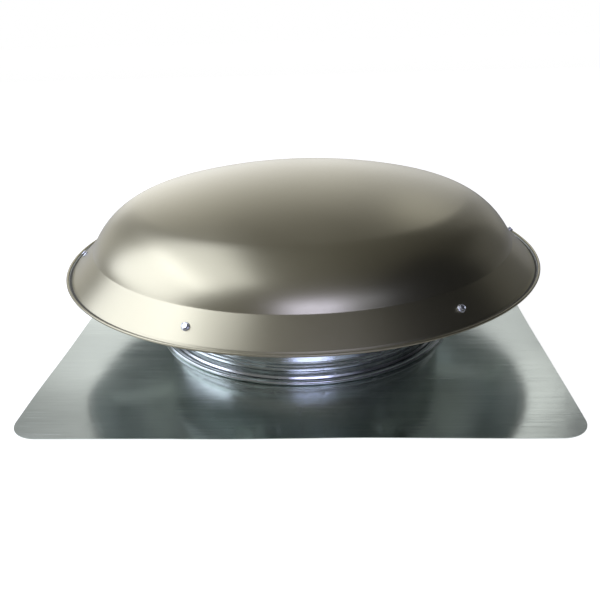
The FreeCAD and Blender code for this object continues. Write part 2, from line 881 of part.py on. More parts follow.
def set_screw_post(radius, runs_out):
    """A round bar from the shaft's flat out through the hub's wall, and a little past it."""
    tip = shaft_flat_x + thread_gap
    place = Vector(tip, 0, (disc_high + hub_high) / 2)
    return Part.makeCylinder(radius, hub_r - tip + runs_out, place, Vector(1, 0, 0))


def make_set_screw():
    socket = hexagon(socket_hex, 0, socket_depth + past)
    mouth = Vector(hub_r - socket_depth, 0, (disc_high + hub_high) / 2)
    return set_screw_post(set_screw_r, 0).cut(placed(socket, mouth, Vector(1, 0, 0)))


def make_blade_rivets():
    grip = arm_t + arm_gap + blade_t
    rivets = []
    for angle in blade_angles:
        for x, along in blade_rivets:
            point, normal = blade_rivet_frame(x, along)
            one = placed(rivet(grip, blade_rivet_r, blade_rivet_head_r), point, normal)
            rivets.append(round_about(one, angle))
    return rivets


# Wiring box and thermostat

box_mid_y = (box_near + box_far) / 2
box_half = box_length / 2
stat_x = 0.0
cover_high = box_low - seat_gap
cover_low = cover_high - cover_t
cover_screw_x = box_half - cover_screw_inset
cover_screw_y = box_width / 2 - cover_screw_inset
cover_screw_places = [(-cover_screw_x, box_mid_y + cover_screw_y), (cover_screw_x, box_mid_y - cover_screw_y)]


def make_box():
    inside = box_half - box_t
    outer = rounded_block(-box_half, box_half, box_near, box_far, box_low, box_top, box_corner)
    inner = rounded_block(-inside, inside, box_near + box_t, box_far - box_t, box_low - past, box_top - box_t,
                          box_corner - box_t)
    body = outer.cut(inner)
    ears = []
    for x, y in cover_screw_places:
        side = 1 if x > 0 else -1
        across = sorted((x - side * small_head_r, side * (box_half - box_t / 2)))
        along = sorted((y + side * small_head_r, box_mid_y - side * (box_width - box_t) / 2))
        ears.append(block(*across, *along, box_low, box_low + ear_depth))
    body = joined([body] + ears)
    drills = [post(small_screw_r + thread_gap, box_low - past, box_low + ear_depth + past, *p)
              for p in cover_screw_places]
    top_drill = (box_top - box_t - past, box_top + past)
    drills += [post(small_screw_r + thread_gap, *top_drill, *p) for p in hang_places]
    lead = Vector(0, box_near - box_t, core_mid)
    drills.append(Part.makeCylinder(bushing_tube_r + sheet_gap, 4 * box_t, lead, Vector(0, 1, 0)))
    ground = ground_screw_place()
    drills.append(placed(post(small_screw_r + thread_gap, -2 * box_t, box_t), ground, Vector(1, 0, 0)))
    return body.cut(drills)


def make_bushing():
    """A flanged tube that takes the motor's leads from the shell into the box."""
    start = core_r + seat_gap
    end = box_near + box_t + bushing_past_box
    tube = Part.makeCylinder(bushing_tube_r, end - start, Vector(0, start, core_mid), Vector(0, 1, 0))
    near = motor_r + seat_gap
    collar = Part.makeCylinder(bushing_r, box_near - seat_gap - near, Vector(0, near, core_mid),
                               Vector(0, 1, 0))
    bore = Part.makeCylinder(bushing_tube_r - bushing_wall, end - start + 2 * past,
                             Vector(0, start - past, core_mid), Vector(0, 1, 0))
    return joined([tube, collar]).cut(bore)


def ground_screw_place():
    return Vector(box_half, box_mid_y - ground_screw_side, (box_low + box_top) / 2 + ground_screw_up)


def make_cover():
    plate = rounded_block(-box_half, box_half, box_near, box_far, cover_low, cover_high, box_corner)
    low, high = cover_low - past, cover_high + past
    drills = [cylinder(small_screw_r + screw_hole_gap, low, high, *p) for p in cover_screw_places]
    drills.append(cylinder(spindle_r + spindle_room, low, high, stat_x, box_mid_y))
    drills.append(cylinder(knockout_r, low, high, knockout_x, box_mid_y))
    return plate.cut(drills)


def make_cover_screws():
    down = Vector(0, 0, -1)
    screw = pan_head_screw(small_screw_length)
    return [placed(screw, Vector(x, y, cover_low - seat_gap), down) for x, y in cover_screw_places]


def make_hang_screws():
    down = Vector(0, 0, -1)
    screw = pan_head_screw(strap_top + 2 * seat_gap + hang_nut_h + hang_screw_past_nut - box_top + box_t)
    return [placed(screw, Vector(x, y, box_top - box_t - seat_gap), down) for x, y in hang_places]


def make_hang_nuts():
    low = strap_top + seat_gap
    nuts = []
    for x, y in hang_places:
        nut = hexagon(hang_nut_hex, low, low + hang_nut_h, x, y)
        nuts.append(nut.cut(post(small_screw_r + thread_gap, low - past, low + hang_nut_h + past, x, y)))
    return nuts


def make_ground_screw():
    place = ground_screw_place() + Vector(seat_gap, 0, 0)
    return placed(pan_head_screw(ground_screw_length), place, Vector(1, 0, 0))


def make_thermostat():
    low = cover_high + seat_gap
    body = rounded_block(stat_x - stat_length / 2, stat_x + stat_length / 2, box_mid_y - stat_width / 2,
                         box_mid_y + stat_width / 2, low, low + stat_depth, stat_corner)
    return body.cut(cylinder(spindle_r + spindle_gap, low - past, low + stat_bore_depth, stat_x, box_mid_y))


def make_spindle():
    top = cover_high + seat_gap + stat_bore_depth - spindle_end_gap
    return cylinder(spindle_r, dial_low + dial_skirt_h, top, stat_x, box_mid_y)


dial_high = cover_low - dial_gap
dial_low = dial_high - dial_h


def make_dial():
    skirt = cylinder(dial_r, dial_high - dial_skirt_h, dial_high)
    grip = Part.makeCone(dial_grip_r - dial_draft, dial_grip_r, dial_h - dial_skirt_h, Vector(0, 0, dial_low))
    dial = joined([skirt, grip])
    flutes = []
    for i in range(dial_flutes):
        centre = polar(dial_grip_r + dial_flute_out, 360 / dial_flutes * i, 0)
        flutes.append(cylinder(dial_flute_r, dial_low - past, dial_high - dial_skirt_h, centre.x, centre.y))
    pointer = block(-pointer_width / 2, pointer_width / 2, -dial_grip_r - past, 0,
                    dial_low - past, dial_low + pointer_depth)
    bore = cylinder(spindle_r + hub_fit, dial_low + dial_skirt_h - spindle_gap, dial_high + past)
    dial = dial.cut(flutes + [pointer, bore])
    dial.translate(Vector(stat_x, box_mid_y, 0))
    return dial


def build():
    os.makedirs("parts", exist_ok=True)
    save("base_flashing", make_flashing())
    save("throat", make_throat())
    save("throat_seam_rivets", [wall_rivet(a, z, 0, throat_t) for a, z in seam_rivet_places])
    save("hood", make_hood())
    for i, angle in enumerate(hood_strap_angles):
        save("hood_strap_" + str(i + 1), make_hood_strap(angle))
    save("hood_strap_rivets", [wall_rivet(a, z, 0, strap_hold) for a, z in hood_strap_rivet_places])
    save("hood_screws", make_hood_screws())
    save("screen", make_screen())
    save("motor_strap_left", make_motor_strap(-1))
    save("motor_strap_right", make_motor_strap(1))
    save("motor_strap_rivets", [wall_rivet(a, z, tab_hold, 0) for a, z in motor_strap_rivet_places])
    save("motor_shell", make_shell())
    save("motor_upper_bell", make_bell(motor_top, -1, True))
    save("motor_lower_bell", make_bell(motor_bottom, 1, False))
    save("stator_core", make_core())
    save("stator_windings", make_windings())
    save("upper_bearing", make_bearing(motor_top, -1))
    save("lower_bearing", make_bearing(motor_bottom, 1))
    save("thrust_washers", make_washers())
    save("motor_tie_bolts", make_tie_bolts())
    save("motor_nuts", make_nuts())
    save("motor_shaft", make_shaft())
    save("motor_rotor", make_rotor())
    save("thrust_collars", make_collars())
    save("fan_hub", make_hub())
    save("fan_set_screw", make_set_screw())
    save("fan_spider", make_spider())
    for i, angle in enumerate(blade_angles):
        save("fan_blade_" + str(i + 1), make_blade(angle))
    save("fan_blade_rivets", make_blade_rivets())
    save("wiring_box", make_box())
    save("wiring_box_cover", make_cover())
    save("box_cover_screws", make_cover_screws())
    save("box_hanging_screws", make_hang_screws())
    save("box_hanging_nuts", make_hang_nuts())
    save("lead_bushing", make_bushing())
    save("ground_screw", make_ground_screw())
    save("thermostat_body", make_thermostat())
    save("thermostat_spindle", make_spindle())
    save("thermostat_dial", make_dial())


build()
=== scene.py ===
import json
import math

import bmesh
import bpy
from mathutils import Matrix, Vector, noise

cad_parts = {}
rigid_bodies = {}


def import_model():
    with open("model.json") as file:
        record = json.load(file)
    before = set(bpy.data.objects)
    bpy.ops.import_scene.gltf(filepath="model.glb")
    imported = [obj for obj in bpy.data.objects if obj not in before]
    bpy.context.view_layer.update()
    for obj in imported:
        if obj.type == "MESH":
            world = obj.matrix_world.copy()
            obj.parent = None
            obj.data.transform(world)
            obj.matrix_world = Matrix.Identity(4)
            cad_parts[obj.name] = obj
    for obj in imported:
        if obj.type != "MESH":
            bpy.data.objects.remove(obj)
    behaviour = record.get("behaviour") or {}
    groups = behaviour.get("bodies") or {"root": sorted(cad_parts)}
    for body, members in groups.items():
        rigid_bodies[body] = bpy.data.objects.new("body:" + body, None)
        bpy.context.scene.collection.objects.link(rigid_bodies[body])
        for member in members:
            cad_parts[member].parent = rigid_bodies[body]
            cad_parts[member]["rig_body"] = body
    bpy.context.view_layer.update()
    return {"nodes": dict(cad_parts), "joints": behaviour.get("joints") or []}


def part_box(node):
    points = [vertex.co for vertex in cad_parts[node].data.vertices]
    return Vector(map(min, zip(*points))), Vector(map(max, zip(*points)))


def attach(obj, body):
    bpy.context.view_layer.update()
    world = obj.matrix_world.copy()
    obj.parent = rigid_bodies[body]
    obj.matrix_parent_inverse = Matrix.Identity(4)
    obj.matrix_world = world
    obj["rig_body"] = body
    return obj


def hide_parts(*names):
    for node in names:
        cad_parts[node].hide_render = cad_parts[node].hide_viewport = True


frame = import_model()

# Powered roof ventilator: a painted spun hood over a galvanised throat and flashing, with the motor,
# fan, screen and wiring box inside. Metres, +Z up, the hood's front towards -Y.

cadNodes = frame["nodes"]


# Camera, at the photograph's angle

cameraView = {
    "place": (0.0413, -0.9305, 0.4236),
    "yaw": -2.86,  # degrees from +Y towards +X
    "pitch": 23.12,  # downwards
    "roll": -1.76,
    "lens": 43.33,
    "sensor": 36,
}


def makeCamera(view):
    yaw, pitch, roll = (math.radians(view[name]) for name in ("yaw", "pitch", "roll"))
    ahead = Vector((math.sin(yaw) * math.cos(pitch), math.cos(yaw) * math.cos(pitch), -math.sin(pitch)))
    level = Vector((math.cos(yaw), -math.sin(yaw), 0))
    upright = level.cross(ahead)
    right = math.cos(roll) * level + math.sin(roll) * upright
    top = math.cos(roll) * upright - math.sin(roll) * level
    data = bpy.data.cameras.new("photoCamera")
    data.lens = view["lens"]
    data.sensor_width = view["sensor"]
    camera = bpy.data.objects.new("photoCamera", data)
    turn = Matrix((right, top, -ahead)).transposed()
    camera.matrix_world = Matrix.Translation(view["place"]) @ turn.to_4x4()
    bpy.context.scene.collection.objects.link(camera)
    bpy.context.scene.camera = camera


makeCamera(cameraView)
print("camera placed")


# Node helpers

def addNode(tree, kind, inputs=None, **settings):
    made = tree.nodes.new(kind)
    for name, value in settings.items():
        setattr(made, name, value)
    for name, value in (inputs or {}).items():
        if isinstance(value, bpy.types.NodeSocket):
            tree.links.new(value, made.inputs[name])
        else:
            made.inputs[name].default_value = value
    return made


def mixColours(tree, share, first, second):
    inputs = {0: share, 6: first, 7: second}
    return addNode(tree, "ShaderNodeMix", inputs, data_type="RGBA").outputs[2]


def spread(tree, value, low, high, toLow, toHigh):
    inputs = {0: value, 1: low, 2: high, 3: toLow, 4: toHigh}
    return addNode(tree, "ShaderNodeMapRange", inputs).outputs[0]


def combined(tree, kind, first, second):
    return addNode(tree, "ShaderNodeMath", {0: first, 1: second}, operation=kind).outputs[0]


def rgba(colour):
    return (*colour, 1.0)


def newGroup(name, inputs, outputs):
    tree = bpy.data.node_groups.new(name, "ShaderNodeTree")
    for label, kind, value in inputs:
        socket = tree.interface.new_socket(label, in_out="INPUT", socket_type=kind)
        socket.default_value = value
    for label in outputs:
        tree.interface.new_socket(label, in_out="OUTPUT", socket_type="NodeSocketFloat")
    return tree, tree.nodes.new("NodeGroupInput"), tree.nodes.new("NodeGroupOutput")


# Effects that several finishes share

patternForm = {
    "grainLow": 0.3, "grainHigh": 0.7,  # noise levels that become 0 and 1
    "cloudLow": 0.35, "cloudHigh": 0.65,
    "scratchStretch": (1.0, 45.0, 45.0), "scratchEdge": 0.04,
}


def makeGrain():
    # rolling lines, stretched by the Stretch vector
    tree, source, result = newGroup("grain", [
        ("Stretch", "NodeSocketVector", (1.0, 1.0, 1.0)),
        ("Scale", "NodeSocketFloat", 60.0),
    ], ["Lines"])
    where = addNode(tree, "ShaderNodeTexCoord").outputs["Object"]
    drawn = addNode(tree, "ShaderNodeMapping", {"Vector": where, "Scale": source.outputs["Stretch"]})
    lines = addNode(tree, "ShaderNodeTexNoise", {
        "Vector": drawn.outputs[0], "Scale": source.outputs["Scale"], "Detail": 5.0, "Roughness": 0.65,
    })
    low, high = patternForm["grainLow"], patternForm["grainHigh"]
    tree.links.new(spread(tree, lines.outputs[0], low, high, 0.0, 1.0), result.inputs["Lines"])
    return tree


def makeClouds():
    # broad soft patches, such as handling marks and uneven zinc
    tree, source, result = newGroup("clouds", [("Scale", "NodeSocketFloat", 6.0)], ["Amount"])
    where = addNode(tree, "ShaderNodeTexCoord").outputs["Object"]
    patches = addNode(tree, "ShaderNodeTexNoise", {
        "Vector": where, "Scale": source.outputs["Scale"], "Detail": 4.0, "Distortion": 0.4,
    })
    low, high = patternForm["cloudLow"], patternForm["cloudHigh"]
    tree.links.new(spread(tree, patches.outputs[0], low, high, 0.0, 1.0), result.inputs["Amount"])
    return tree


def makeSpecks():
    # small round dots: dust, pits and flake
    tree, source, result = newGroup("specks", [
        ("Scale", "NodeSocketFloat", 400.0),
        ("Size", "NodeSocketFloat", 0.15),
    ], ["Amount"])
    where = addNode(tree, "ShaderNodeTexCoord").outputs["Object"]
    cells = addNode(tree, "ShaderNodeTexVoronoi", {"Vector": where, "Scale": source.outputs["Scale"]})
    size = source.outputs["Size"]
    tree.links.new(spread(tree, cells.outputs["Distance"], 0.0, size, 1.0, 0.0), result.inputs["Amount"])
    return tree


def makeScratches():
    # sparse thin lines across the sheet
    tree, source, result = newGroup("scratches", [
        ("Turn", "NodeSocketVector", (0.0, 0.0, 0.3)),
        ("Scale", "NodeSocketFloat", 8.0),
        ("Share", "NodeSocketFloat", 0.7),
    ], ["Amount"])
    where = addNode(tree, "ShaderNodeTexCoord").outputs["Object"]
    drawn = addNode(tree, "ShaderNodeMapping", {
        "Vector": where, "Rotation": source.outputs["Turn"], "Scale": patternForm["scratchStretch"],
    })
    lines = addNode(tree, "ShaderNodeTexNoise", {
        "Vector": drawn.outputs[0], "Scale": source.outputs["Scale"], "Detail": 2.0,
    })
    share = source.outputs["Share"]
    thick = combined(tree, "ADD", share, patternForm["scratchEdge"])
    tree.links.new(spread(tree, lines.outputs[0], share, thick, 0.0, 1.0), result.inputs["Amount"])
    return tree


def makeRingBand():
    # 1 between two distances from the axis and below a height, such as the painted shade in the rim's gutter
    # and under its bead
    tree, source, result = newGroup("ring band", [
        ("Inner", "NodeSocketFloat", 0.3),
        ("Outer", "NodeSocketFloat", 0.31),
        ("Top", "NodeSocketFloat", 0.1),
        ("Soft", "NodeSocketFloat", 0.001),
    ], ["Amount"])
    where = addNode(tree, "ShaderNodeTexCoord").outputs["Object"]
    parts = addNode(tree, "ShaderNodeSeparateXYZ", {0: where}).outputs
    level = addNode(tree, "ShaderNodeCombineXYZ", {0: parts[0], 1: parts[1]}).outputs[0]
    reach = addNode(tree, "ShaderNodeVectorMath", {0: level}, operation="LENGTH").outputs["Value"]
    soft = source.outputs["Soft"]
    inner, outer, top = (source.outputs[name] for name in ("Inner", "Outer", "Top"))
    inside = spread(tree, reach, inner, combined(tree, "ADD", inner, soft), 0.0, 1.0)
    outside = spread(tree, reach, combined(tree, "SUBTRACT", outer, soft), outer, 1.0, 0.0)
    under = spread(tree, parts[2], combined(tree, "SUBTRACT", top, soft), top, 1.0, 0.0)
    both = combined(tree, "MULTIPLY", inside, outside)
    tree.links.new(combined(tree, "MULTIPLY", both, under), result.inputs["Amount"])
    return tree


grain = makeGrain()
clouds = makeClouds()
specks = makeSpecks()
scratches = makeScratches()
ringBand = makeRingBand()


def place(tree, group, inputs):
    made = tree.nodes.new("ShaderNodeGroup")
    made.node_tree = group
    for name, value in inputs.items():
        made.inputs[name].default_value = value
    return made.outputs[0]


def newMaterial(name):
    made = bpy.data.materials.new(name)
    made.use_nodes = True
    tree = made.node_tree
    return made, tree, tree.nodes["Principled BSDF"]


def bump(tree, height, distance, under=None):
    inputs = {"Height": height, "Distance": distance, "Strength": 1.0}
    if under is not None:
        inputs["Normal"] = under
    return addNode(tree, "ShaderNodeBump", inputs).outputs[0]


# Finishes, one for each material slot of the record

def sheetFinish(name, look):
    # bare or coated metal with rolling grain, soft patches, specks and scratches
    material, tree, shader = newMaterial(name)
    lines = place(tree, grain, {"Stretch": look["stretch"], "Scale": look["grainScale"]})
    patches = place(tree, clouds, {"Scale": look["patchScale"]})
    dots = place(tree, specks, {"Scale": look["speckScale"], "Size": look["speckSize"]})
    marks = place(tree, scratches, {"Turn": look["scratchTurn"], "Scale": look["scratchScale"],
                                    "Share": look["scratchShare"]})
    tone = spread(tree, lines, 0.0, 1.0, -look["lineTone"], look["lineTone"])
    base = mixColours(tree, combined(tree, "ADD", patches, tone), rgba(look["dark"]), rgba(look["pale"]))
    rubbed = combined(tree, "MULTIPLY", marks, look["scratchTone"])
    base = mixColours(tree, rubbed, base, rgba(look["bare"]))
    tree.links.new(base, shader.inputs["Base Color"])
    rough = spread(tree, patches, 0.0, 1.0, look["smooth"], look["rough"])
    rough = combined(tree, "ADD", rough, combined(tree, "MULTIPLY", lines, look["grainRough"]))
    rough = combined(tree, "ADD", rough, combined(tree, "MULTIPLY", marks, look["scratchRough"]))
    tree.links.new(rough, shader.inputs["Roughness"])
    shader.inputs["Metallic"].default_value = look["metallic"]
    level = bump(tree, patches, look["patchBump"])
    level = bump(tree, lines, look["grainBump"], under=level)
    level = bump(tree, dots, look["speckBump"], under=level)
    level = bump(tree, marks, -look["speckBump"], under=level)
    tree.links.new(level, shader.inputs["Normal"])
    return material


zincSheet = {
    "stretch": (0.03, 1.0, 1.0), "grainScale": 420.0, "patchScale": 5.0,
    "speckScale": 500.0, "speckSize": 0.12, "scratchTurn": (0.0, 0.0, 0.35), "scratchScale": 6.0,
    "scratchShare": 0.72, "scratchTone": 0.35, "scratchRough": 0.15, "lineTone": 0.5,
    "dark": (0.60, 0.65, 0.605), "pale": (0.70, 0.755, 0.70), "bare": (0.85, 0.86, 0.86),
    "metallic": 1.0, "smooth": 0.09, "rough": 0.15, "grainRough": 0.12,
    "patchBump": 0.0002, "grainBump": 0.000007, "speckBump": 0.000008,
}
zincThroat = zincSheet | {
    "stretch": (0.06, 0.06, 1.0), "grainScale": 700.0, "patchScale": 14.0,
    "dark": (0.64, 0.67, 0.65), "pale": (0.78, 0.80, 0.79),
    "smooth": 0.10, "rough": 0.18, "patchBump": 0.0001,
}
zincStrap = zincSheet | {
    "stretch": (1.0, 1.0, 0.1), "grainScale": 500.0, "patchScale": 30.0, "smooth": 0.22, "rough": 0.36,
    "lineTone": 0.2, "grainBump": 0.000004,
}
platedSteel = zincStrap | {
    "stretch": (1.0, 1.0, 1.0), "patchScale": 60.0, "lineTone": 0.1, "grainBump": 0.000002,
    "dark": (0.53, 0.54, 0.55), "pale": (0.61, 0.62, 0.63), "grainRough": 0.04, "speckBump": 0.000002,
}
bareInside = zincSheet | {
    "stretch": (0.2, 0.2, 1.0), "patchScale": 9.0,
    "dark": (0.62, 0.66, 0.63), "pale": (0.74, 0.78, 0.75), "smooth": 0.24, "rough": 0.34,
    "metallic": 0.45,
}
aluminiumSheet = zincSheet | {
    "stretch": (0.5, 0.5, 1.0), "patchScale": 12.0,
    "dark": (0.74, 0.75, 0.76), "pale": (0.84, 0.85, 0.86), "smooth": 0.22, "rough": 0.34,
    "speckBump": 0.000002,
}
castAluminium = aluminiumSheet | {
    "stretch": (1.0, 1.0, 1.0), "grainScale": 500.0, "patchScale": 40.0, "smooth": 0.38, "rough": 0.55,
    "dark": (0.55, 0.56, 0.57), "pale": (0.68, 0.69, 0.70), "grainBump": 0.00004,
}
screwZinc = zincSheet | {
    "stretch": (1.0, 1.0, 1.0), "grainScale": 900.0, "patchScale": 120.0, "smooth": 0.16, "rough": 0.3,
    "dark": (0.62, 0.64, 0.66), "pale": (0.80, 0.81, 0.83),
}
rivetAluminium = screwZinc | {"dark": (0.70, 0.71, 0.72), "pale": (0.82, 0.83, 0.84)}
wireZinc = screwZinc | {"smooth": 0.28, "rough": 0.4}
turnedSteel = screwZinc | {
    "stretch": (0.2, 0.2, 1.0), "dark": (0.50, 0.51, 0.52), "pale": (0.62, 0.63, 0.64),
    "smooth": 0.14, "rough": 0.24,
}
laminations = turnedSteel | {
    "stretch": (0.02, 0.02, 1.0), "grainScale": 1600.0, "grainBump": 0.00008, "smooth": 0.4, "rough": 0.6,
    "dark": (0.22, 0.21, 0.20), "pale": (0.34, 0.33, 0.32),
}
copperWire = turnedSteel | {
    "stretch": (1.0, 1.0, 0.08), "grainScale": 1200.0, "grainBump": 0.00012,
    "dark": (0.45, 0.16, 0.07), "pale": (0.72, 0.33, 0.17), "bare": (0.9, 0.5, 0.3),
    "smooth": 0.22, "rough": 0.36,
}
bronze = turnedSteel | {"dark": (0.55, 0.38, 0.18), "pale": (0.68, 0.50, 0.26), "bare": (0.8, 0.6, 0.35)}
brass = turnedSteel | {"dark": (0.62, 0.47, 0.20), "pale": (0.78, 0.61, 0.30), "bare": (0.85, 0.7, 0.4)}
greenZinc = screwZinc | {"dark": (0.02, 0.16, 0.05), "pale": (0.05, 0.26, 0.09), "metallic": 0.6}


def paintFinish(name, look):
    # coat over sheet metal: metal flake, faint orange peel, dust and rubbed patches, and painted shade in the
    # ring bands a look lists
    material, tree, shader = newMaterial(name)
    patches = place(tree, clouds, {"Scale": look["patchScale"]})
    peel = place(tree, grain, {"Stretch": look["stretch"], "Scale": look["peelScale"]})
    flake = place(tree, specks, {"Scale": look["flakeScale"], "Size": look["flakeSize"]})
    marks = place(tree, scratches, {"Turn": look["scratchTurn"], "Scale": look["scratchScale"],
                                    "Share": look["scratchShare"]})
    base = mixColours(tree, patches, rgba(look["dark"]), rgba(look["pale"]))
    base = mixColours(tree, combined(tree, "MULTIPLY", flake, look["flakeTone"]), base, rgba(look["flake"]))
    rubbed = combined(tree, "MULTIPLY", marks, look["scratchTone"])
    base = mixColours(tree, rubbed, base, rgba(look["flake"]))
    rough = spread(tree, patches, 0.0, 1.0, look["smooth"], look["rough"])
    rough = combined(tree, "ADD", rough, combined(tree, "MULTIPLY", peel, look["peelRough"]))
    shader.inputs["Metallic"].default_value = look["metallic"]
    # painted shade: inside the look's ring bands the colour is darkened, and the paint made rougher and less
    # metallic
    if "paintedShadeBands" in look:
        paintedShade = 0.0
        for band in look["paintedShadeBands"]:
            paintedShade = combined(tree, "MAXIMUM", place(tree, ringBand, band), paintedShade)
        paintedShadeAmount = combined(tree, "MULTIPLY", paintedShade, look["paintedShadeShare"])
        base = mixColours(tree, paintedShadeAmount, base, rgba(look["paintedShade"]))
        rough = combined(tree, "ADD", rough, combined(tree, "MULTIPLY", paintedShade, look["paintedShadeRough"]))
        metal = spread(tree, paintedShade, 0.0, 1.0, look["metallic"], look["paintedShadeMetal"])
        tree.links.new(metal, shader.inputs["Metallic"])
    tree.links.new(base, shader.inputs["Base Color"])
    tree.links.new(rough, shader.inputs["Roughness"])
    shader.inputs["Coat Weight"].default_value = look["coat"]
    shader.inputs["Coat Roughness"].default_value = look["coatRough"]
    level = bump(tree, peel, look["peelBump"])
    level = bump(tree, flake, look["flakeBump"], under=level)
    tree.links.new(level, shader.inputs["Normal"])
    return material


bronzePaint = {
    "stretch": (1.0, 1.0, 1.0), "peelScale": 260.0, "patchScale": 3.0,
    "flakeScale": 1500.0, "flakeSize": 0.35, "flakeTone": 0.25, "flake": (0.52, 0.48, 0.42),
    "scratchTurn": (0.2, 0.1, 0.9), "scratchScale": 9.0, "scratchShare": 0.76, "scratchTone": 0.12,
    "dark": (0.375, 0.346, 0.234), "pale": (0.435, 0.402, 0.277),
    "metallic": 1.0, "smooth": 0.28, "rough": 0.33, "peelRough": 0.03,
    "coat": 0.15, "coatRough": 0.3, "peelBump": 0.000004, "flakeBump": 0.000002,
}
hoodPaint = bronzePaint | {
    # painted shade: the paint is darker, rougher and less metallic in the rim's gutter, and under its bead
    "paintedShadeBands": [
        {"Inner": 0.3026, "Outer": 0.3072, "Top": 0.0986, "Soft": 0.0006},
        {"Inner": 0.3072, "Outer": 0.3300, "Top": 0.0979, "Soft": 0.0006},
    ],
    "paintedShade": (0.030, 0.028, 0.023), "paintedShadeShare": 0.85, "paintedShadeRough": 0.4, "paintedShadeMetal": 0.05,
}
motorEnamel = bronzePaint | {
    "dark": (0.030, 0.031, 0.033), "pale": (0.045, 0.046, 0.048), "flake": (0.10, 0.10, 0.10),
    "metallic": 0.0, "smooth": 0.38, "rough": 0.5, "peelBump": 0.00002, "coat": 0.2, "patchScale": 20.0,
}
mouldedPlastic = bronzePaint | {
    "flakeTone": 0.0, "metallic": 0.0, "coat": 0.0, "smooth": 0.42, "rough": 0.55,
    "peelScale": 900.0, "peelBump": 0.00003, "patchScale": 60.0, "flakeBump": 0.0,
}
nylon = mouldedPlastic | {"dark": (0.68, 0.66, 0.60), "pale": (0.76, 0.74, 0.68)}
blackPlastic = mouldedPlastic | {"dark": (0.012, 0.012, 0.013), "pale": (0.022, 0.022, 0.024)}
greyPlastic = mouldedPlastic | {"dark": (0.10, 0.10, 0.11), "pale": (0.15, 0.15, 0.16)}

looks = {
    "flashing_steel": (sheetFinish, zincSheet),
    "throat_steel": (sheetFinish, zincThroat),
    "hood_paint": (paintFinish, hoodPaint),
    "strap_steel": (sheetFinish, zincStrap),
    "rivet_aluminium": (sheetFinish, rivetAluminium),
    "screw_zinc": (sheetFinish, screwZinc),
    "screen_wire": (sheetFinish, wireZinc),
    "motor_paint": (paintFinish, motorEnamel),
    "bell_aluminium": (sheetFinish, castAluminium),
    "lamination_steel": (sheetFinish, laminations),
    "winding_copper": (sheetFinish, copperWire),
    "bearing_bronze": (sheetFinish, bronze),
    "washer_nylon": (paintFinish, nylon),
    "shaft_steel": (sheetFinish, turnedSteel),
    "fan_aluminium": (sheetFinish, aluminiumSheet),
    "hub_steel": (sheetFinish, platedSteel),
    "box_steel": (sheetFinish, zincStrap),
    "bushing_plastic": (paintFinish, blackPlastic),
    "ground_green": (sheetFinish, greenZinc),
    "thermostat_plastic": (paintFinish, greyPlastic),
    "dial_plastic": (paintFinish, blackPlastic),
    "spindle_brass": (sheetFinish, brass),
}
finishes = {slot: makeFinish(slot + "_finish", look) for slot, (makeFinish, look) in looks.items()}

slotOf = {name: part.material_slots[0].material.name for name, part in cadNodes.items()}
for name, part in cadNodes.items():
    for held in part.material_slots:
        held.material = finishes[held.material.name]
insideFinish = sheetFinish("hood_inside_finish", bareInside)
print("finishes made")


# Modelling helpers: a section is drawn in the XZ plane with few points, then turned about Z

mergeDistance = 0.000001
# heights on the axis that tell a face's outer side: inside the hood and throat, and far below a flat sheet
eyeInside = 0.02
eyeBelow = -1.0


def startLine(mesh, radius, z):
    return mesh.verts.new((radius, 0, z))


def runTo(mesh, vertex, radius, z):
    last = bmesh.ops.extrude_vert_indiv(mesh, verts=[vertex])["verts"][0]
    last.co = (radius, 0, z)
    return last


def sweepTo(mesh, vertex, centre, degrees, steps):
    # an arc about a centre in the XZ plane, clockwise seen from the front
    made = bmesh.ops.spin(mesh, geom=[vertex], cent=(centre[0], 0, centre[1]), axis=(0, 1, 0),
                          angle=math.radians(degrees), steps=steps)
    return made["geom_last"][0]


def roundCorner(mesh, vertex, radius, steps):
    first, second = [edge.other_vert(vertex).co - vertex.co for edge in vertex.link_edges]
    reach = radius / math.tan(first.angle(second) / 2)
    bmesh.ops.bevel(mesh, geom=[vertex], offset=reach, offset_type="OFFSET", segments=steps,
                    profile=0.5, affect="VERTICES", material=-1)


def drawLine(mesh, corners, steps=4):
    # straight runs through (radius, z, corner radius) points, with rounded corners
    drawn = [startLine(mesh, *corners[0][:2])]
    for corner in corners[1:]:
        drawn.append(runTo(mesh, drawn[-1], corner[0], corner[1]))
    for vertex, corner in zip(drawn[1:-1], corners[1:-1]):
        if len(corner) > 2:
            roundCorner(mesh, vertex, corner[2], steps)


def turnSection(mesh, steps, degrees=360.0, start=0.0):
    whole = degrees == 360.0
    geom = mesh.verts[:] + mesh.edges[:] + mesh.faces[:]
    bmesh.ops.spin(mesh, geom=geom, cent=(0, 0, 0), axis=(0, 0, 1), angle=math.radians(degrees),
                   steps=steps, use_merge=whole)
    bmesh.ops.remove_doubles(mesh, verts=mesh.verts[:], dist=mergeDistance)
    bmesh.ops.recalc_face_normals(mesh, faces=mesh.faces[:])
    bmesh.ops.rotate(mesh, verts=mesh.verts[:], cent=(0, 0, 0),
                     matrix=Matrix.Rotation(math.radians(start), 3, "Z"))


def addHem(mesh, ringR, z, radius, sides, steps):
    # a rolled edge: a small circle turned about Z
    hem = bmesh.new()
    turned = Matrix.Translation((ringR, 0, z)) @ Matrix.Rotation(math.radians(90), 4, "X")
    bmesh.ops.create_circle(hem, cap_ends=False, segments=sides, radius=radius, matrix=turned)
    turnSection(hem, steps)
    joinInto(mesh, hem)


def joinInto(mesh, other, matrix=None):
    # puts another mesh into this one, turned and moved by a matrix
    data = bpy.data.meshes.new("moving")
    other.to_mesh(data)
    other.free()
    if matrix is not None:
        data.transform(matrix)
    mesh.from_mesh(data)
    bpy.data.meshes.remove(data)


def thicken(mesh, thickness, eyeZ=eyeInside):
    # the drawn face is turned away from a point on the axis, and the wall grows towards that point
    eye = Vector((0, 0, eyeZ))
    if sum(f.normal.dot(f.calc_center_median() - eye) * f.calc_area() for f in mesh.faces) < 0:
        bmesh.ops.reverse_faces(mesh, faces=mesh.faces[:])
    bmesh.ops.solidify(mesh, geom=mesh.faces[:], thickness=thickness)


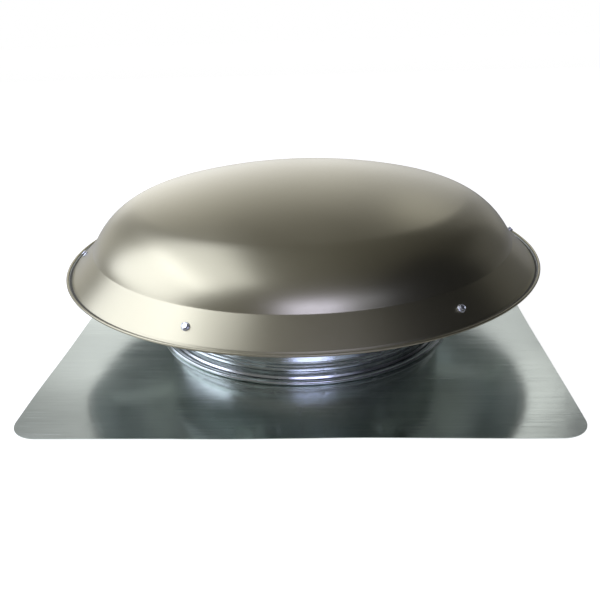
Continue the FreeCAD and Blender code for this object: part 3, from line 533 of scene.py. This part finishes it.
def finishPiece(mesh, name, body, slotName, replaced, sharp=32.0, under=None):
    data = bpy.data.meshes.new(name)
    mesh.to_mesh(data)
    mesh.free()
    data.shade_smooth()
    data.set_sharp_from_angle(angle=math.radians(sharp))
    data.materials.append(finishes[slotName])
    if under is not None:
        data.materials.append(under)
    piece = bpy.data.objects.new(name, data)
    bpy.context.scene.collection.objects.link(piece)
    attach(piece, body)
    if replaced:
        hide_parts(*replaced)
    return piece


# Hood: crown and shoulder arcs, knee, skirt, flange and rolled rim

hoodForm = {
    "top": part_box("hood")[1].z,
    "rimR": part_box("hood")[1].x,
    "kneeR": 0.2732, "kneeZ": 0.1267,
    "wallSlope": 63.1, "skirtSlope": 44.5,  # degrees from level
    "shoulderR": 0.1013, "kneeStraight": 0.0016, "kneeFillet": 0.004,
    "skirtEndR": 0.3012, "beadR": 0.0015, "beadDrop": 0.0009,
    "gutterDeep": 0.0026, "gutterNear": 0.0020, "gutterFar": 0.0006, "gutterFillet": 0.0008,
    "thickness": 0.001,
    "steps": 288, "crownSteps": 26, "shoulderSteps": 22, "kneeSteps": 5, "gutterSteps": 3, "beadSides": 14,
}


def skirtZ(radius):
    return hoodForm["kneeZ"] - (radius - hoodForm["kneeR"]) * math.tan(math.radians(hoodForm["skirtSlope"]))


def makeHood(form):
    lean = math.radians(90 - form["wallSlope"])
    wallEnd = Vector((form["kneeR"] - form["kneeStraight"] * math.sin(lean),
                      form["kneeZ"] + form["kneeStraight"] * math.cos(lean)))
    centre = wallEnd - form["shoulderR"] * Vector((math.cos(lean), math.sin(lean)))
    rise = centre.y - form["top"]
    crownR = (form["shoulderR"] ** 2 - centre.x ** 2 - rise ** 2) / (2 * (rise + form["shoulderR"]))
    crownZ = form["top"] - crownR
    toward = math.atan2(centre.y - crownZ, centre.x)
    mesh = bmesh.new()
    middle = startLine(mesh, 0, form["top"])
    meet = sweepTo(mesh, middle, (0, crownZ), 90 - math.degrees(toward), form["crownSteps"])
    foot = sweepTo(mesh, meet, centre, math.degrees(toward - lean), form["shoulderSteps"])
    flatZ = skirtZ(form["skirtEndR"])
    knee = runTo(mesh, foot, form["kneeR"], form["kneeZ"])
    valley = runTo(mesh, knee, form["skirtEndR"], flatZ)
    lip = form["rimR"] - 2 * form["beadR"]
    near = runTo(mesh, valley, form["skirtEndR"] + form["gutterNear"], flatZ - form["gutterDeep"])
    far = runTo(mesh, near, lip - form["gutterFar"], flatZ - form["gutterDeep"])
    runTo(mesh, far, lip, flatZ - form["beadDrop"])
    roundCorner(mesh, knee, form["kneeFillet"], form["kneeSteps"])
    for corner in (valley, near, far):
        roundCorner(mesh, corner, form["gutterFillet"], form["gutterSteps"])
    turnSection(mesh, form["steps"])
    thicken(mesh, form["thickness"])
    eye = Vector((0, 0, eyeInside))
    for face in mesh.faces:
        if face.normal.dot(face.calc_center_median() - eye) < 0:
            face.material_index = 1  # the bare inside
    finishPiece(mesh, "hood_shell", "root", "hood_paint", ["hood"], under=insideFinish)
    rim = bmesh.new()
    addHem(rim, form["rimR"] - form["beadR"], flatZ - form["beadDrop"], form["beadR"],
           form["beadSides"], form["steps"])
    finishPiece(rim, "hood_rim", "root", "hood_paint", ["hood"])


makeHood(hoodForm)
print("hood made")


# Throat: rolled foot, ridge, wall with locking bead, rolled top and the lap seam

throatForm = {
    "wallR": 0.1865, "top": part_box("throat")[1].z, "thickness": 0.0008,
    "footZ": 0.0008, "rollRingR": 0.1951, "rollR": 0.0030,
    "ridgeOut": 0.0016, "ridgeZ": 0.0048, "ridgeRise": 0.0024, "footFillet": 0.0008, "ridgeFillet": 0.001,
    "beadZ": 0.017, "beadH": 0.0064, "beadOut": 0.0016, "beadFillet": 0.0008, "beadTopFillet": 0.0007,
    "grooveZ": 0.0242, "grooveH": 0.0050, "grooveIn": 0.0024,
    "grooveFillet": 0.0005, "grooveDeepFillet": 0.001, "curlR": 0.002,
    "seamAngle": -90.2, "seamWidth": 0.024, "seamLift": 0.0007, "seamRise": 0.0002, "seamSteps": 12,
    # two of every three points of the crimp are raised
    "crimpR": 0.1893, "crimpWidth": 0.0014, "crimpHeight": 0.0007, "crimpThick": 0.0004,
    "crimpSteps": 900, "crimpPitch": 3,
    "steps": 288, "hemSides": 16,
}


def throatCorners(form):
    wall, out = form["wallR"], form["wallR"] + form["beadOut"]
    ridge = wall + form["ridgeOut"]
    flat = form["footZ"] + form["thickness"]
    low, half = form["beadZ"] - form["beadH"] / 2, form["beadH"] / 2
    dip, deep = form["grooveZ"], wall - form["grooveIn"]
    foot = [
        (form["rollRingR"], flat),
        (ridge, flat, form["footFillet"]),
        (ridge, form["ridgeZ"], form["footFillet"]),
        (wall, form["ridgeZ"] + form["ridgeRise"], form["ridgeFillet"]),
    ]
    bead = [
        (wall, low, form["beadFillet"]),
        (out, low + half / 2, form["beadFillet"]),
        (out, low + half * 1.5, form["beadFillet"]),
        (wall, low + form["beadH"], form["beadTopFillet"]),
    ]
    groove = [
        (wall, dip - form["grooveH"] / 2, form["grooveFillet"]),
        (deep, dip, form["grooveDeepFillet"]),
        (wall, dip + form["grooveH"] / 2, form["grooveFillet"]),
    ]
    return foot, bead, groove


def addCrimp(mesh, form):
    # the row of small pressed marks that locks the foot to the flashing
    flat = form["footZ"] + form["thickness"]
    steps = form["crimpSteps"]
    row = bmesh.new()
    inner, width = form["crimpR"], form["crimpWidth"]
    for radius in (inner, inner + width / 2, inner + width):
        bmesh.ops.create_circle(row, cap_ends=False, segments=steps, radius=radius,
                                matrix=Matrix.Translation((0, 0, flat)))
    bmesh.ops.bridge_loops(row, edges=row.edges[:])
    row.verts.ensure_lookup_table()
    raised = [row.verts[steps + i] for i in range(steps) if i % form["crimpPitch"]]
    bmesh.ops.translate(row, verts=raised, vec=(0, 0, form["crimpHeight"]))
    bmesh.ops.recalc_face_normals(row, faces=row.faces[:])
    thicken(row, form["crimpThick"], eyeBelow)
    joinInto(mesh, row)


def makeThroat(form):
    foot, bead, groove = throatCorners(form)
    curlZ = form["top"] - form["curlR"]
    mesh = bmesh.new()
    drawLine(mesh, foot + bead + groove + [(form["wallR"], curlZ)])
    turnSection(mesh, form["steps"])
    thicken(mesh, form["thickness"])
    finishPiece(mesh, "throat_wall", "root", "throat_steel", ["throat"])
    hems = bmesh.new()
    addHem(hems, form["rollRingR"], form["footZ"] + form["rollR"], form["rollR"],
           form["hemSides"], form["steps"])
    addHem(hems, form["wallR"] - form["thickness"] + form["curlR"], curlZ, form["curlR"],
           form["hemSides"], form["steps"])
    addCrimp(hems, form)
    finishPiece(hems, "throat_hems", "root", "throat_steel", ["throat"])
    lap = bmesh.new()
    lift = form["seamLift"]
    points = [(r + lift, z + form["seamRise"], *rest) for r, z, *rest in [foot[-1]] + bead + groove]
    drawLine(lap, points + [(form["wallR"] + lift, curlZ - form["curlR"])])
    sweep = math.degrees(form["seamWidth"] / form["wallR"])
    turnSection(lap, form["seamSteps"], sweep, form["seamAngle"] - sweep / 2)
    thicken(lap, lift)
    finishPiece(lap, "throat_seam", "root", "throat_steel", ["throat"])


makeThroat(throatForm)
print("throat made")


# Flashing: a square sheet with rounded corners, a little wavy, turned up into a neck inside the throat

flashingForm = {
    "half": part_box("base_flashing")[1].x, "cornerR": 0.032, "thickness": 0.0008,
    "neckR": 0.18555, "neckTop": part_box("base_flashing")[1].z, "neckOut": 0.0016,
    "neckFillet": 0.0008, "neckBeadFillet": 0.0006, "neckBeadInset": 0.0005,
    "cornerSteps": 12, "edgeCuts": 107, "rings": 30,
    "waveHeight": 0.0016, "waveScale": 7.0, "waveLayer": 0.3, "waveLift": 0.5, "flatTo": 0.205,
}


def wave(form, x, y):
    away = max(math.hypot(x, y) - form["flatTo"], 0) / (form["half"] - form["flatTo"])
    drift = noise.noise(Vector((x, y, form["waveLayer"])) * form["waveScale"]) + form["waveLift"]
    return form["waveHeight"] * min(away, 1.0) * max(drift, 0.0)


def makeFlashing(form):
    mesh = bmesh.new()
    bmesh.ops.create_grid(mesh, x_segments=1, y_segments=1, size=form["half"])
    bmesh.ops.bevel(mesh, geom=mesh.verts[:], offset=form["cornerR"], offset_type="OFFSET",
                    segments=form["cornerSteps"], profile=0.5, affect="VERTICES", material=-1)
    sides = [e for e in mesh.edges if e.calc_length() > form["half"]]
    bmesh.ops.subdivide_edges(mesh, edges=sides, cuts=form["edgeCuts"])
    bmesh.ops.delete(mesh, geom=mesh.faces[:], context="FACES_ONLY")
    bmesh.ops.create_circle(mesh, cap_ends=False, segments=len(mesh.edges), radius=form["neckR"])
    spokes = bmesh.ops.bridge_loops(mesh, edges=mesh.edges[:])["edges"]
    bmesh.ops.subdivide_edges(mesh, edges=spokes, cuts=form["rings"], use_grid_fill=True)
    for vertex in mesh.verts:
        vertex.co.z = form["thickness"] + wave(form, vertex.co.x, vertex.co.y)
    bmesh.ops.recalc_face_normals(mesh, faces=mesh.faces[:])
    thicken(mesh, form["thickness"], eyeBelow)
    finishPiece(mesh, "flashing_plate", "root", "flashing_steel", ["base_flashing"])
    neck = bmesh.new()
    low, half = throatForm["beadZ"] - throatForm["beadH"] / 2, throatForm["beadH"] / 2
    radius, out = form["neckR"], form["neckR"] + form["neckOut"]
    fillet, beadFillet, inset = form["neckFillet"], form["neckBeadFillet"], form["neckBeadInset"]
    drawLine(neck, [
        (radius, form["thickness"] / 2),
        (radius, low + inset, fillet),
        (out, low + half / 2, beadFillet),
        (out, low + half * 1.5, beadFillet),
        (radius, low + throatForm["beadH"] - inset, fillet),
        (radius, form["neckTop"]),
    ])
    turnSection(neck, throatForm["steps"])
    thicken(neck, form["thickness"])
    finishPiece(neck, "flashing_neck", "root", "flashing_steel", ["base_flashing"])


makeFlashing(flashingForm)
print("flashing made")


# Hood screws: hex head with a flared washer face

screwForm = {
    "count": 6, "first": -112.4, "ringR": 0.2885, "lift": 0.0001,
    "turn": 0.7,  # radians from one head to the next
    "washerR": 0.0048, "washerT": 0.0009, "washerEdge": 0.0003, "collarR": 0.00385, "collarZ": 0.00117,
    "hex": 0.007, "headH": 0.0034, "shankR": 0.0024, "length": 0.016, "pointLong": 0.003,
    "steps": 32, "edgeSteps": 3,
    # rings in the head's top: how far in, how far up
    "topRings": [(0.0005, 0.00035), (0.0007, -0.0001), (0.0003, -0.0005)],
    "upright": 0.9, "cornerEdge": 0.0003, "cornerSteps": 2,
}


def makeScrew(form):
    # along +Z, the washer's face at the origin
    mesh = bmesh.new()
    line = [
        (0, -form["length"]), (form["shankR"], -form["length"] + form["pointLong"]), (form["shankR"], 0),
        (form["washerR"], 0), (form["washerR"], form["washerT"] / 2, form["washerEdge"]),
        (form["collarR"], form["collarZ"]), (0, form["collarZ"]),
    ]
    drawLine(mesh, line, form["edgeSteps"])
    turnSection(mesh, form["steps"])
    head = bmesh.new()
    bmesh.ops.create_circle(head, cap_ends=True, segments=6, radius=form["hex"] / math.sqrt(3),
                            matrix=Matrix.Translation((0, 0, form["washerT"])))
    top = bmesh.ops.extrude_face_region(head, geom=head.faces[:])["geom"]
    raised = [g for g in top if isinstance(g, bmesh.types.BMVert)]
    bmesh.ops.translate(head, verts=raised, vec=(0, 0, form["headH"] - form["washerT"]))
    lid = [f for f in head.faces if all(v in raised for v in f.verts)]
    for inward, rise in form["topRings"]:
        bmesh.ops.inset_region(head, faces=lid, thickness=inward, depth=rise)
    steep = form["upright"]
    upright = [e for e in head.edges if abs((e.verts[0].co - e.verts[1].co).normalized().z) > steep]
    bmesh.ops.bevel(head, geom=upright, offset=form["cornerEdge"], offset_type="OFFSET",
                    segments=form["cornerSteps"], profile=0.5, affect="EDGES", material=-1)
    bmesh.ops.recalc_face_normals(head, faces=head.faces[:])
    joinInto(mesh, head)
    return mesh


def makeHoodScrews(form):
    slope = math.radians(hoodForm["skirtSlope"])
    normal = Vector((math.sin(slope), 0, math.cos(slope)))
    spot = Vector((form["ringR"], 0, skirtZ(form["ringR"]))) + normal * form["lift"]
    seated = Matrix.Translation(spot) @ normal.to_track_quat("Z", "Y").to_matrix().to_4x4()
    screws = bmesh.new()
    for index in range(form["count"]):
        angle = math.radians(form["first"] + 360 / form["count"] * index)
        turn = Matrix.Rotation(index * form["turn"], 4, "Z")
        joinInto(screws, makeScrew(form), Matrix.Rotation(angle, 4, "Z") @ seated @ turn)
    finishPiece(screws, "hood_screw_set", "root", "screw_zinc", ["hood_screws"])


makeHoodScrews(screwForm)
print("hood screws made")


# Screen: round wires, the uprights welded to the outside of the hoops

screenForm = {
    "wireR": 0.0006, "weld": 0.0002, "uprights": 92, "hoops": 5, "wireSides": 6, "ringSteps": 184,
    "low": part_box("screen")[0].z, "high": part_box("screen")[1].z, "reach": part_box("screen")[1].x,
}


def makeScreen(form):
    wire, tall = form["wireR"], form["high"] - form["low"]
    hoopR = form["reach"] - 3 * wire + form["weld"]
    mesh = bmesh.new()
    for step in range(form["hoops"]):
        z = form["low"] + wire + (tall - 2 * wire) * step / (form["hoops"] - 1)
        addHem(mesh, hoopR, z, wire, form["wireSides"], form["ringSteps"])
    middle = Matrix.Translation((form["reach"] - wire, 0, form["low"] + tall / 2))
    for step in range(form["uprights"]):
        turn = Matrix.Rotation(math.tau * step / form["uprights"], 4, "Z")
        bmesh.ops.create_cone(mesh, cap_ends=True, segments=form["wireSides"], radius1=wire, radius2=wire,
                              depth=tall, matrix=turn @ middle)
    finishPiece(mesh, "screen_mesh", "root", "screen_wire", ["screen"])


makeScreen(screenForm)
print("screen made")


# Inner pieces keep the frame's shapes, joined up and smoothed, with their edges eased

easedForm = {
    # in degrees: faces folded less than flat are joined, folds over sharp are eased, over shade stay crisp
    "merge": 0.000002, "flat": 0.03, "sharp": 30.0, "shade": 35.0, "steps": 2,
    # node: how far its edges are eased
    "edges": {
        "motor_strap_left": 0.0004, "motor_strap_right": 0.0004,
        "motor_shell": 0.0003, "motor_upper_bell": 0.0004, "motor_lower_bell": 0.0004,
        "stator_core": 0.0002, "stator_windings": 0.0009, "motor_rotor": 0.0003, "motor_shaft": 0.0003,
        "upper_bearing": 0.0003, "lower_bearing": 0.0003, "thrust_washers": 0.0002, "thrust_collars": 0.0003,
        "motor_tie_bolts": 0.0003, "motor_nuts": 0.0003,
        "fan_hub": 0.0005, "fan_set_screw": 0.0002, "fan_spider": 0.0003,
        "wiring_box": 0.0003, "wiring_box_cover": 0.0003, "box_cover_screws": 0.0003,
        "box_hanging_screws": 0.0003, "box_hanging_nuts": 0.0003, "lead_bushing": 0.0003,
        "ground_screw": 0.0003, "thermostat_body": 0.0006, "thermostat_spindle": 0.0002,
        "thermostat_dial": 0.0004,
        "throat_seam_rivets": 0.0006, "hood_strap_rivets": 0.0006, "motor_strap_rivets": 0.0006,
        "fan_blade_rivets": 0.0006,
    } | {f"hood_strap_{number}": 0.0003 for number in range(1, 7)}
      | {f"fan_blade_{number}": 0.0003 for number in range(1, 5)},
}


def easeNode(node, edge, form):
    mesh = bmesh.new()
    mesh.from_mesh(cadNodes[node].data)
    bmesh.ops.remove_doubles(mesh, verts=mesh.verts[:], dist=form["merge"])
    bmesh.ops.dissolve_limit(mesh, angle_limit=math.radians(form["flat"]), verts=mesh.verts[:],
                             edges=mesh.edges[:])
    limit = math.radians(form["sharp"])
    folds = [e for e in mesh.edges if e.is_manifold and e.calc_face_angle() > limit]
    bmesh.ops.bevel(mesh, geom=folds, offset=edge, offset_type="OFFSET", segments=form["steps"],
                    profile=0.5, affect="EDGES", material=-1, clamp_overlap=True)
    body = cadNodes[node]["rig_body"]
    piece = finishPiece(mesh, node + "_eased", body, slotOf[node], [node], sharp=form["shade"])
    evened = piece.modifiers.new("even shading", "WEIGHTED_NORMAL")
    evened.keep_sharp = True


for node, edge in easedForm["edges"].items():
    easeNode(node, edge, easedForm)
print("inner pieces eased")


# Thermostat: temperatures printed round the dial on the box's cover, and a white inlay in the pointer

markForm = {
    "centre": next(joint["pos_m"] for joint in frame["joints"] if joint["name"] == "thermostat_dial"),
    "numbers": range(60, 121, 10), "firstTurn": -90.0, "step": 45.0,
    "numberR": 0.0174, "tall": 0.0022, "tickNear": 0.0154, "tickFar": 0.0161, "tickWidth": 0.0003,
    "ink": 0.00004, "curveSteps": 3, "merge": 0.0000004,
    "inlayNear": 0.002, "inlayFar": 0.0100, "inlayWidth": 0.0011, "inlayDeep": 0.0007,
    "inlayEdge": 0.0002, "inlayEdgeSteps": 2,
}


def drawNumber(number, form):
    curve = bpy.data.curves.new("number", "FONT")
    curve.body = str(number)
    curve.size = form["tall"]
    curve.align_x = "CENTER"
    curve.align_y = "CENTER"
    curve.extrude = form["ink"]
    curve.resolution_u = form["curveSteps"]
    drawn = bpy.data.objects.new("number", curve)
    mesh = bmesh.new()
    data = bpy.data.meshes.new_from_object(drawn)
    mesh.from_mesh(data)
    bmesh.ops.remove_doubles(mesh, verts=mesh.verts[:], dist=form["merge"])
    bpy.data.objects.remove(drawn)
    bpy.data.curves.remove(curve)
    bpy.data.meshes.remove(data)
    return mesh


def drawBar(near, far, width, tall):
    # a flat bar along +X with its middle on the XY plane
    bar = bmesh.new()
    size = Matrix.Diagonal((far - near, width, tall, 1))
    bmesh.ops.create_cube(bar, size=1, matrix=Matrix.Translation(((near + far) / 2, 0, 0)) @ size)
    return bar


def makeMarks(form):
    centre = Vector((form["centre"][0], form["centre"][1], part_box("wiring_box_cover")[0].z))
    facingDown = Matrix.Rotation(math.pi, 4, "Y")
    marks = bmesh.new()
    for index, number in enumerate(form["numbers"]):
        turn = Matrix.Rotation(math.radians(form["firstTurn"] + index * form["step"]), 4, "Z")
        tick = drawBar(form["tickNear"], form["tickFar"], form["tickWidth"], form["ink"])
        joinInto(marks, tick, Matrix.Translation(centre) @ turn)
        spot = centre + turn @ Vector((form["numberR"], 0, 0))
        joinInto(marks, drawNumber(number, form), Matrix.Translation(spot) @ facingDown)
    finishPiece(marks, "thermostat_numbers", "root", "dial_plastic", [])
    nose = Vector((*centre.xy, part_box("thermostat_dial")[0].z + form["inlayDeep"]))
    inlay = drawBar(form["inlayNear"], form["inlayFar"], form["inlayWidth"], form["inlayDeep"])
    bmesh.ops.bevel(inlay, geom=inlay.edges[:], offset=form["inlayEdge"], offset_type="OFFSET",
                    segments=form["inlayEdgeSteps"], profile=0.5, affect="EDGES", material=-1)
    pointer = bmesh.new()
    turn = Matrix.Rotation(math.radians(form["firstTurn"]), 4, "Z")
    joinInto(pointer, inlay, Matrix.Translation(nose) @ turn)
    finishPiece(pointer, "dial_pointer_inlay", "dial", "washer_nylon", [])


makeMarks(markForm)
print("thermostat marked")


# Studio: pale floor, backdrop and soft lights, none of it part of the object

studio = {
    "floorHalf": 6.0, "floorZ": -0.0006, "floorTone": 0.35, "floorSeen": 0.96,
    "underHalf": 0.335, "underZ": -0.0003,
    "whiteTone": 0.5, "greyTone": 0.2, "darkTone": 0.02, "darkRough": 0.9,
    # the room dims from its middle towards the right, and is dimmest from roomDarkAt on
    "roomTone": 0.2, "roomDark": 0.06, "roomDarkAt": 0.6,
    # upright surfaces: one end, the other end, lower edge, upper edge
    "backdrop": ((-4.4, 3.2), (2.9, 3.2), -0.0006, 2.9),
    "rightCard": ((1.5, -1.9), (1.5, 0.3), 0.0, 2.2),
    "backPanel": ((0.85, 3.1), (1.5, 3.1), 1.6, 2.5),
    "sideCard": ((1.9, 1.7), (2.4, 0.7), -0.0003, 1.3),
    "aim": (0, 0, 0.1),
}

# how bright gloss finds each surface: a level, then fades that it is multiplied by,
# each with its axis, where it starts and ends, and its factor at the start and the end
glossLevels = {
    "floor": (1.0, [("X", -0.9, -0.35, 0.55, 0.16)]),
    "backdrop": (1.0, [
        ("Z", 0.0, 1.9, 1.85, 0.68), ("Z", 1.9, 2.9, 1.0, 0.5),
        ("X", -2.3, -1.5, 0.45, 1.0), ("X", -1.3, -0.2, 1.05, 0.88),
        ("X", 0.1, 0.9, 1.0, 0.62), ("X", 1.0, 1.6, 1.0, 0.45),
    ]),
    "panel": (0.95, []),
    "side": (0.1, []),
    "under": (0.6, []),
}

# name: place, size, watts, colour
lamps = {
    "leftWindow": ((-2.03, -0.1, 1.18), (2.2, 1.6), 34.0, (0.75, 0.80, 1.0)),
    "leftHigh": ((-1.11, 0.0, 1.76), (2.3, 1.05), 16.0, (0.75, 0.80, 1.0)),
    "frontWindow": ((0.3, -2.35, 1.55), (1.2, 0.7), 11.5, (0.58, 0.60, 1.0)),
    "frontRight": ((0.96, -1.67, 1.35), (1.0, 0.5), 1.1, (0.62, 0.68, 1.0)),
}


def stagePlane(name, material, corners):
    mesh = bmesh.new()
    mesh.faces.new([mesh.verts.new(corner) for corner in corners])
    data = bpy.data.meshes.new(name)
    mesh.to_mesh(data)
    mesh.free()
    data.materials.append(material)
    made = bpy.data.objects.new(name, data)
    bpy.context.scene.collection.objects.link(made)
    return made


def standing(start, end, low, high):
    # corners of an upright surface over a line on the ground
    return [(*start, low), (*end, low), (*end, high), (*start, high)]


def lying(half, z):
    return [(-half, -half, z), (half, -half, z), (half, half, z), (-half, half, z)]


def faded(tree, level, fades):
    where = addNode(tree, "ShaderNodeTexCoord").outputs["Object"]
    parts = addNode(tree, "ShaderNodeSeparateXYZ", {0: where}).outputs
    for axis, start, end, startFactor, endFactor in fades:
        factor = spread(tree, parts[axis], start, end, startFactor, endFactor)
        level = combined(tree, "MULTIPLY", factor, level)
    return level


def paleMaterial(name, tone, gloss, seen=1.0, clearBelow=False):
    # bright to the camera by seen, and to gloss by its own level and fades; it still takes shadows
    material = bpy.data.materials.new(name)
    material.use_nodes = True
    tree = material.node_tree
    tree.nodes.clear()
    path = addNode(tree, "ShaderNodeLightPath")
    mirrored = combined(tree, "ADD", path.outputs["Is Glossy Ray"], path.outputs["Is Transmission Ray"])
    level = combined(tree, "ADD", combined(tree, "MULTIPLY", path.outputs["Is Camera Ray"], seen),
                     combined(tree, "MULTIPLY", mirrored, faded(tree, *gloss)))
    plain = addNode(tree, "ShaderNodeBsdfDiffuse", {"Color": rgba((tone, tone, tone))})
    light = addNode(tree, "ShaderNodeEmission", {"Color": rgba((1, 1, 1)), "Strength": level})
    shown = addNode(tree, "ShaderNodeAddShader", {0: plain.outputs[0], 1: light.outputs[0]}).outputs[0]
    if clearBelow:
        below = addNode(tree, "ShaderNodeNewGeometry").outputs["Backfacing"]
        clear = addNode(tree, "ShaderNodeBsdfTransparent").outputs[0]
        shown = addNode(tree, "ShaderNodeMixShader", {0: below, 1: shown, 2: clear}).outputs[0]
    addNode(tree, "ShaderNodeOutputMaterial", {"Surface": shown})
    return material


def lightWorld(form):
    # the room is dimmer towards the right, and the camera sees white
    world = bpy.data.worlds.new("studio")
    world.use_nodes = True
    tree = world.node_tree
    where = addNode(tree, "ShaderNodeTexCoord").outputs["Generated"]
    side = addNode(tree, "ShaderNodeSeparateXYZ", {0: where}).outputs[0]
    level = spread(tree, side, 0.0, form["roomDarkAt"], form["roomTone"], form["roomDark"])
    seen = addNode(tree, "ShaderNodeLightPath").outputs["Is Camera Ray"]
    colour = mixColours(tree, seen, level, rgba((1, 1, 1)))
    tree.links.new(colour, tree.nodes["Background"].inputs["Color"])
    bpy.context.scene.world = world


def softLight(name, place, size, power, colour, target):
    data = bpy.data.lights.new(name, "AREA")
    data.shape = "RECTANGLE"
    data.size, data.size_y = size
    data.energy = power
    data.color = colour
    lamp = bpy.data.objects.new(name, data)
    aim = Vector(target) - Vector(place)
    lamp.matrix_world = Matrix.Translation(place) @ aim.to_track_quat("-Z", "Y").to_matrix().to_4x4()
    bpy.context.scene.collection.objects.link(lamp)


def darkMaterial(name, tone, rough):
    material, _, shader = newMaterial(name)
    shader.inputs["Base Color"].default_value = rgba((tone, tone, tone))
    shader.inputs["Roughness"].default_value = rough
    return material


def unseenCard(name, material, corners):
    # the metal mirrors it, and the camera sees past it
    card = stagePlane(name, material, corners)
    card.visible_camera = False


def makeStudio(form):
    gloss, white, grey = glossLevels, form["whiteTone"], form["greyTone"]
    floor = paleMaterial("floor_white", form["floorTone"], gloss["floor"], form["floorSeen"], clearBelow=True)
    stagePlane("floor", floor, lying(form["floorHalf"], form["floorZ"]))
    backdrop = paleMaterial("backdrop_white", white, gloss["backdrop"])
    unseenCard("backdrop", backdrop, standing(*form["backdrop"]))
    under = paleMaterial("under_white", white, gloss["under"], clearBelow=True)
    unseenCard("underCard", under, lying(form["underHalf"], form["underZ"]))
    lightWorld(form)
    for name, lamp in lamps.items():
        softLight(name, *lamp, form["aim"])
    dark = darkMaterial("rightCard", form["darkTone"], form["darkRough"])
    unseenCard("rightCard", dark, standing(*form["rightCard"]))
    unseenCard("backPanel", paleMaterial("panel_white", grey, gloss["panel"]), standing(*form["backPanel"]))
    unseenCard("sideCard", paleMaterial("side_grey", grey, gloss["side"]), standing(*form["sideCard"]))


makeStudio(studio)
print("studio made")


# Colours are shown as they are

bpy.context.scene.view_settings.view_transform = "Standard"
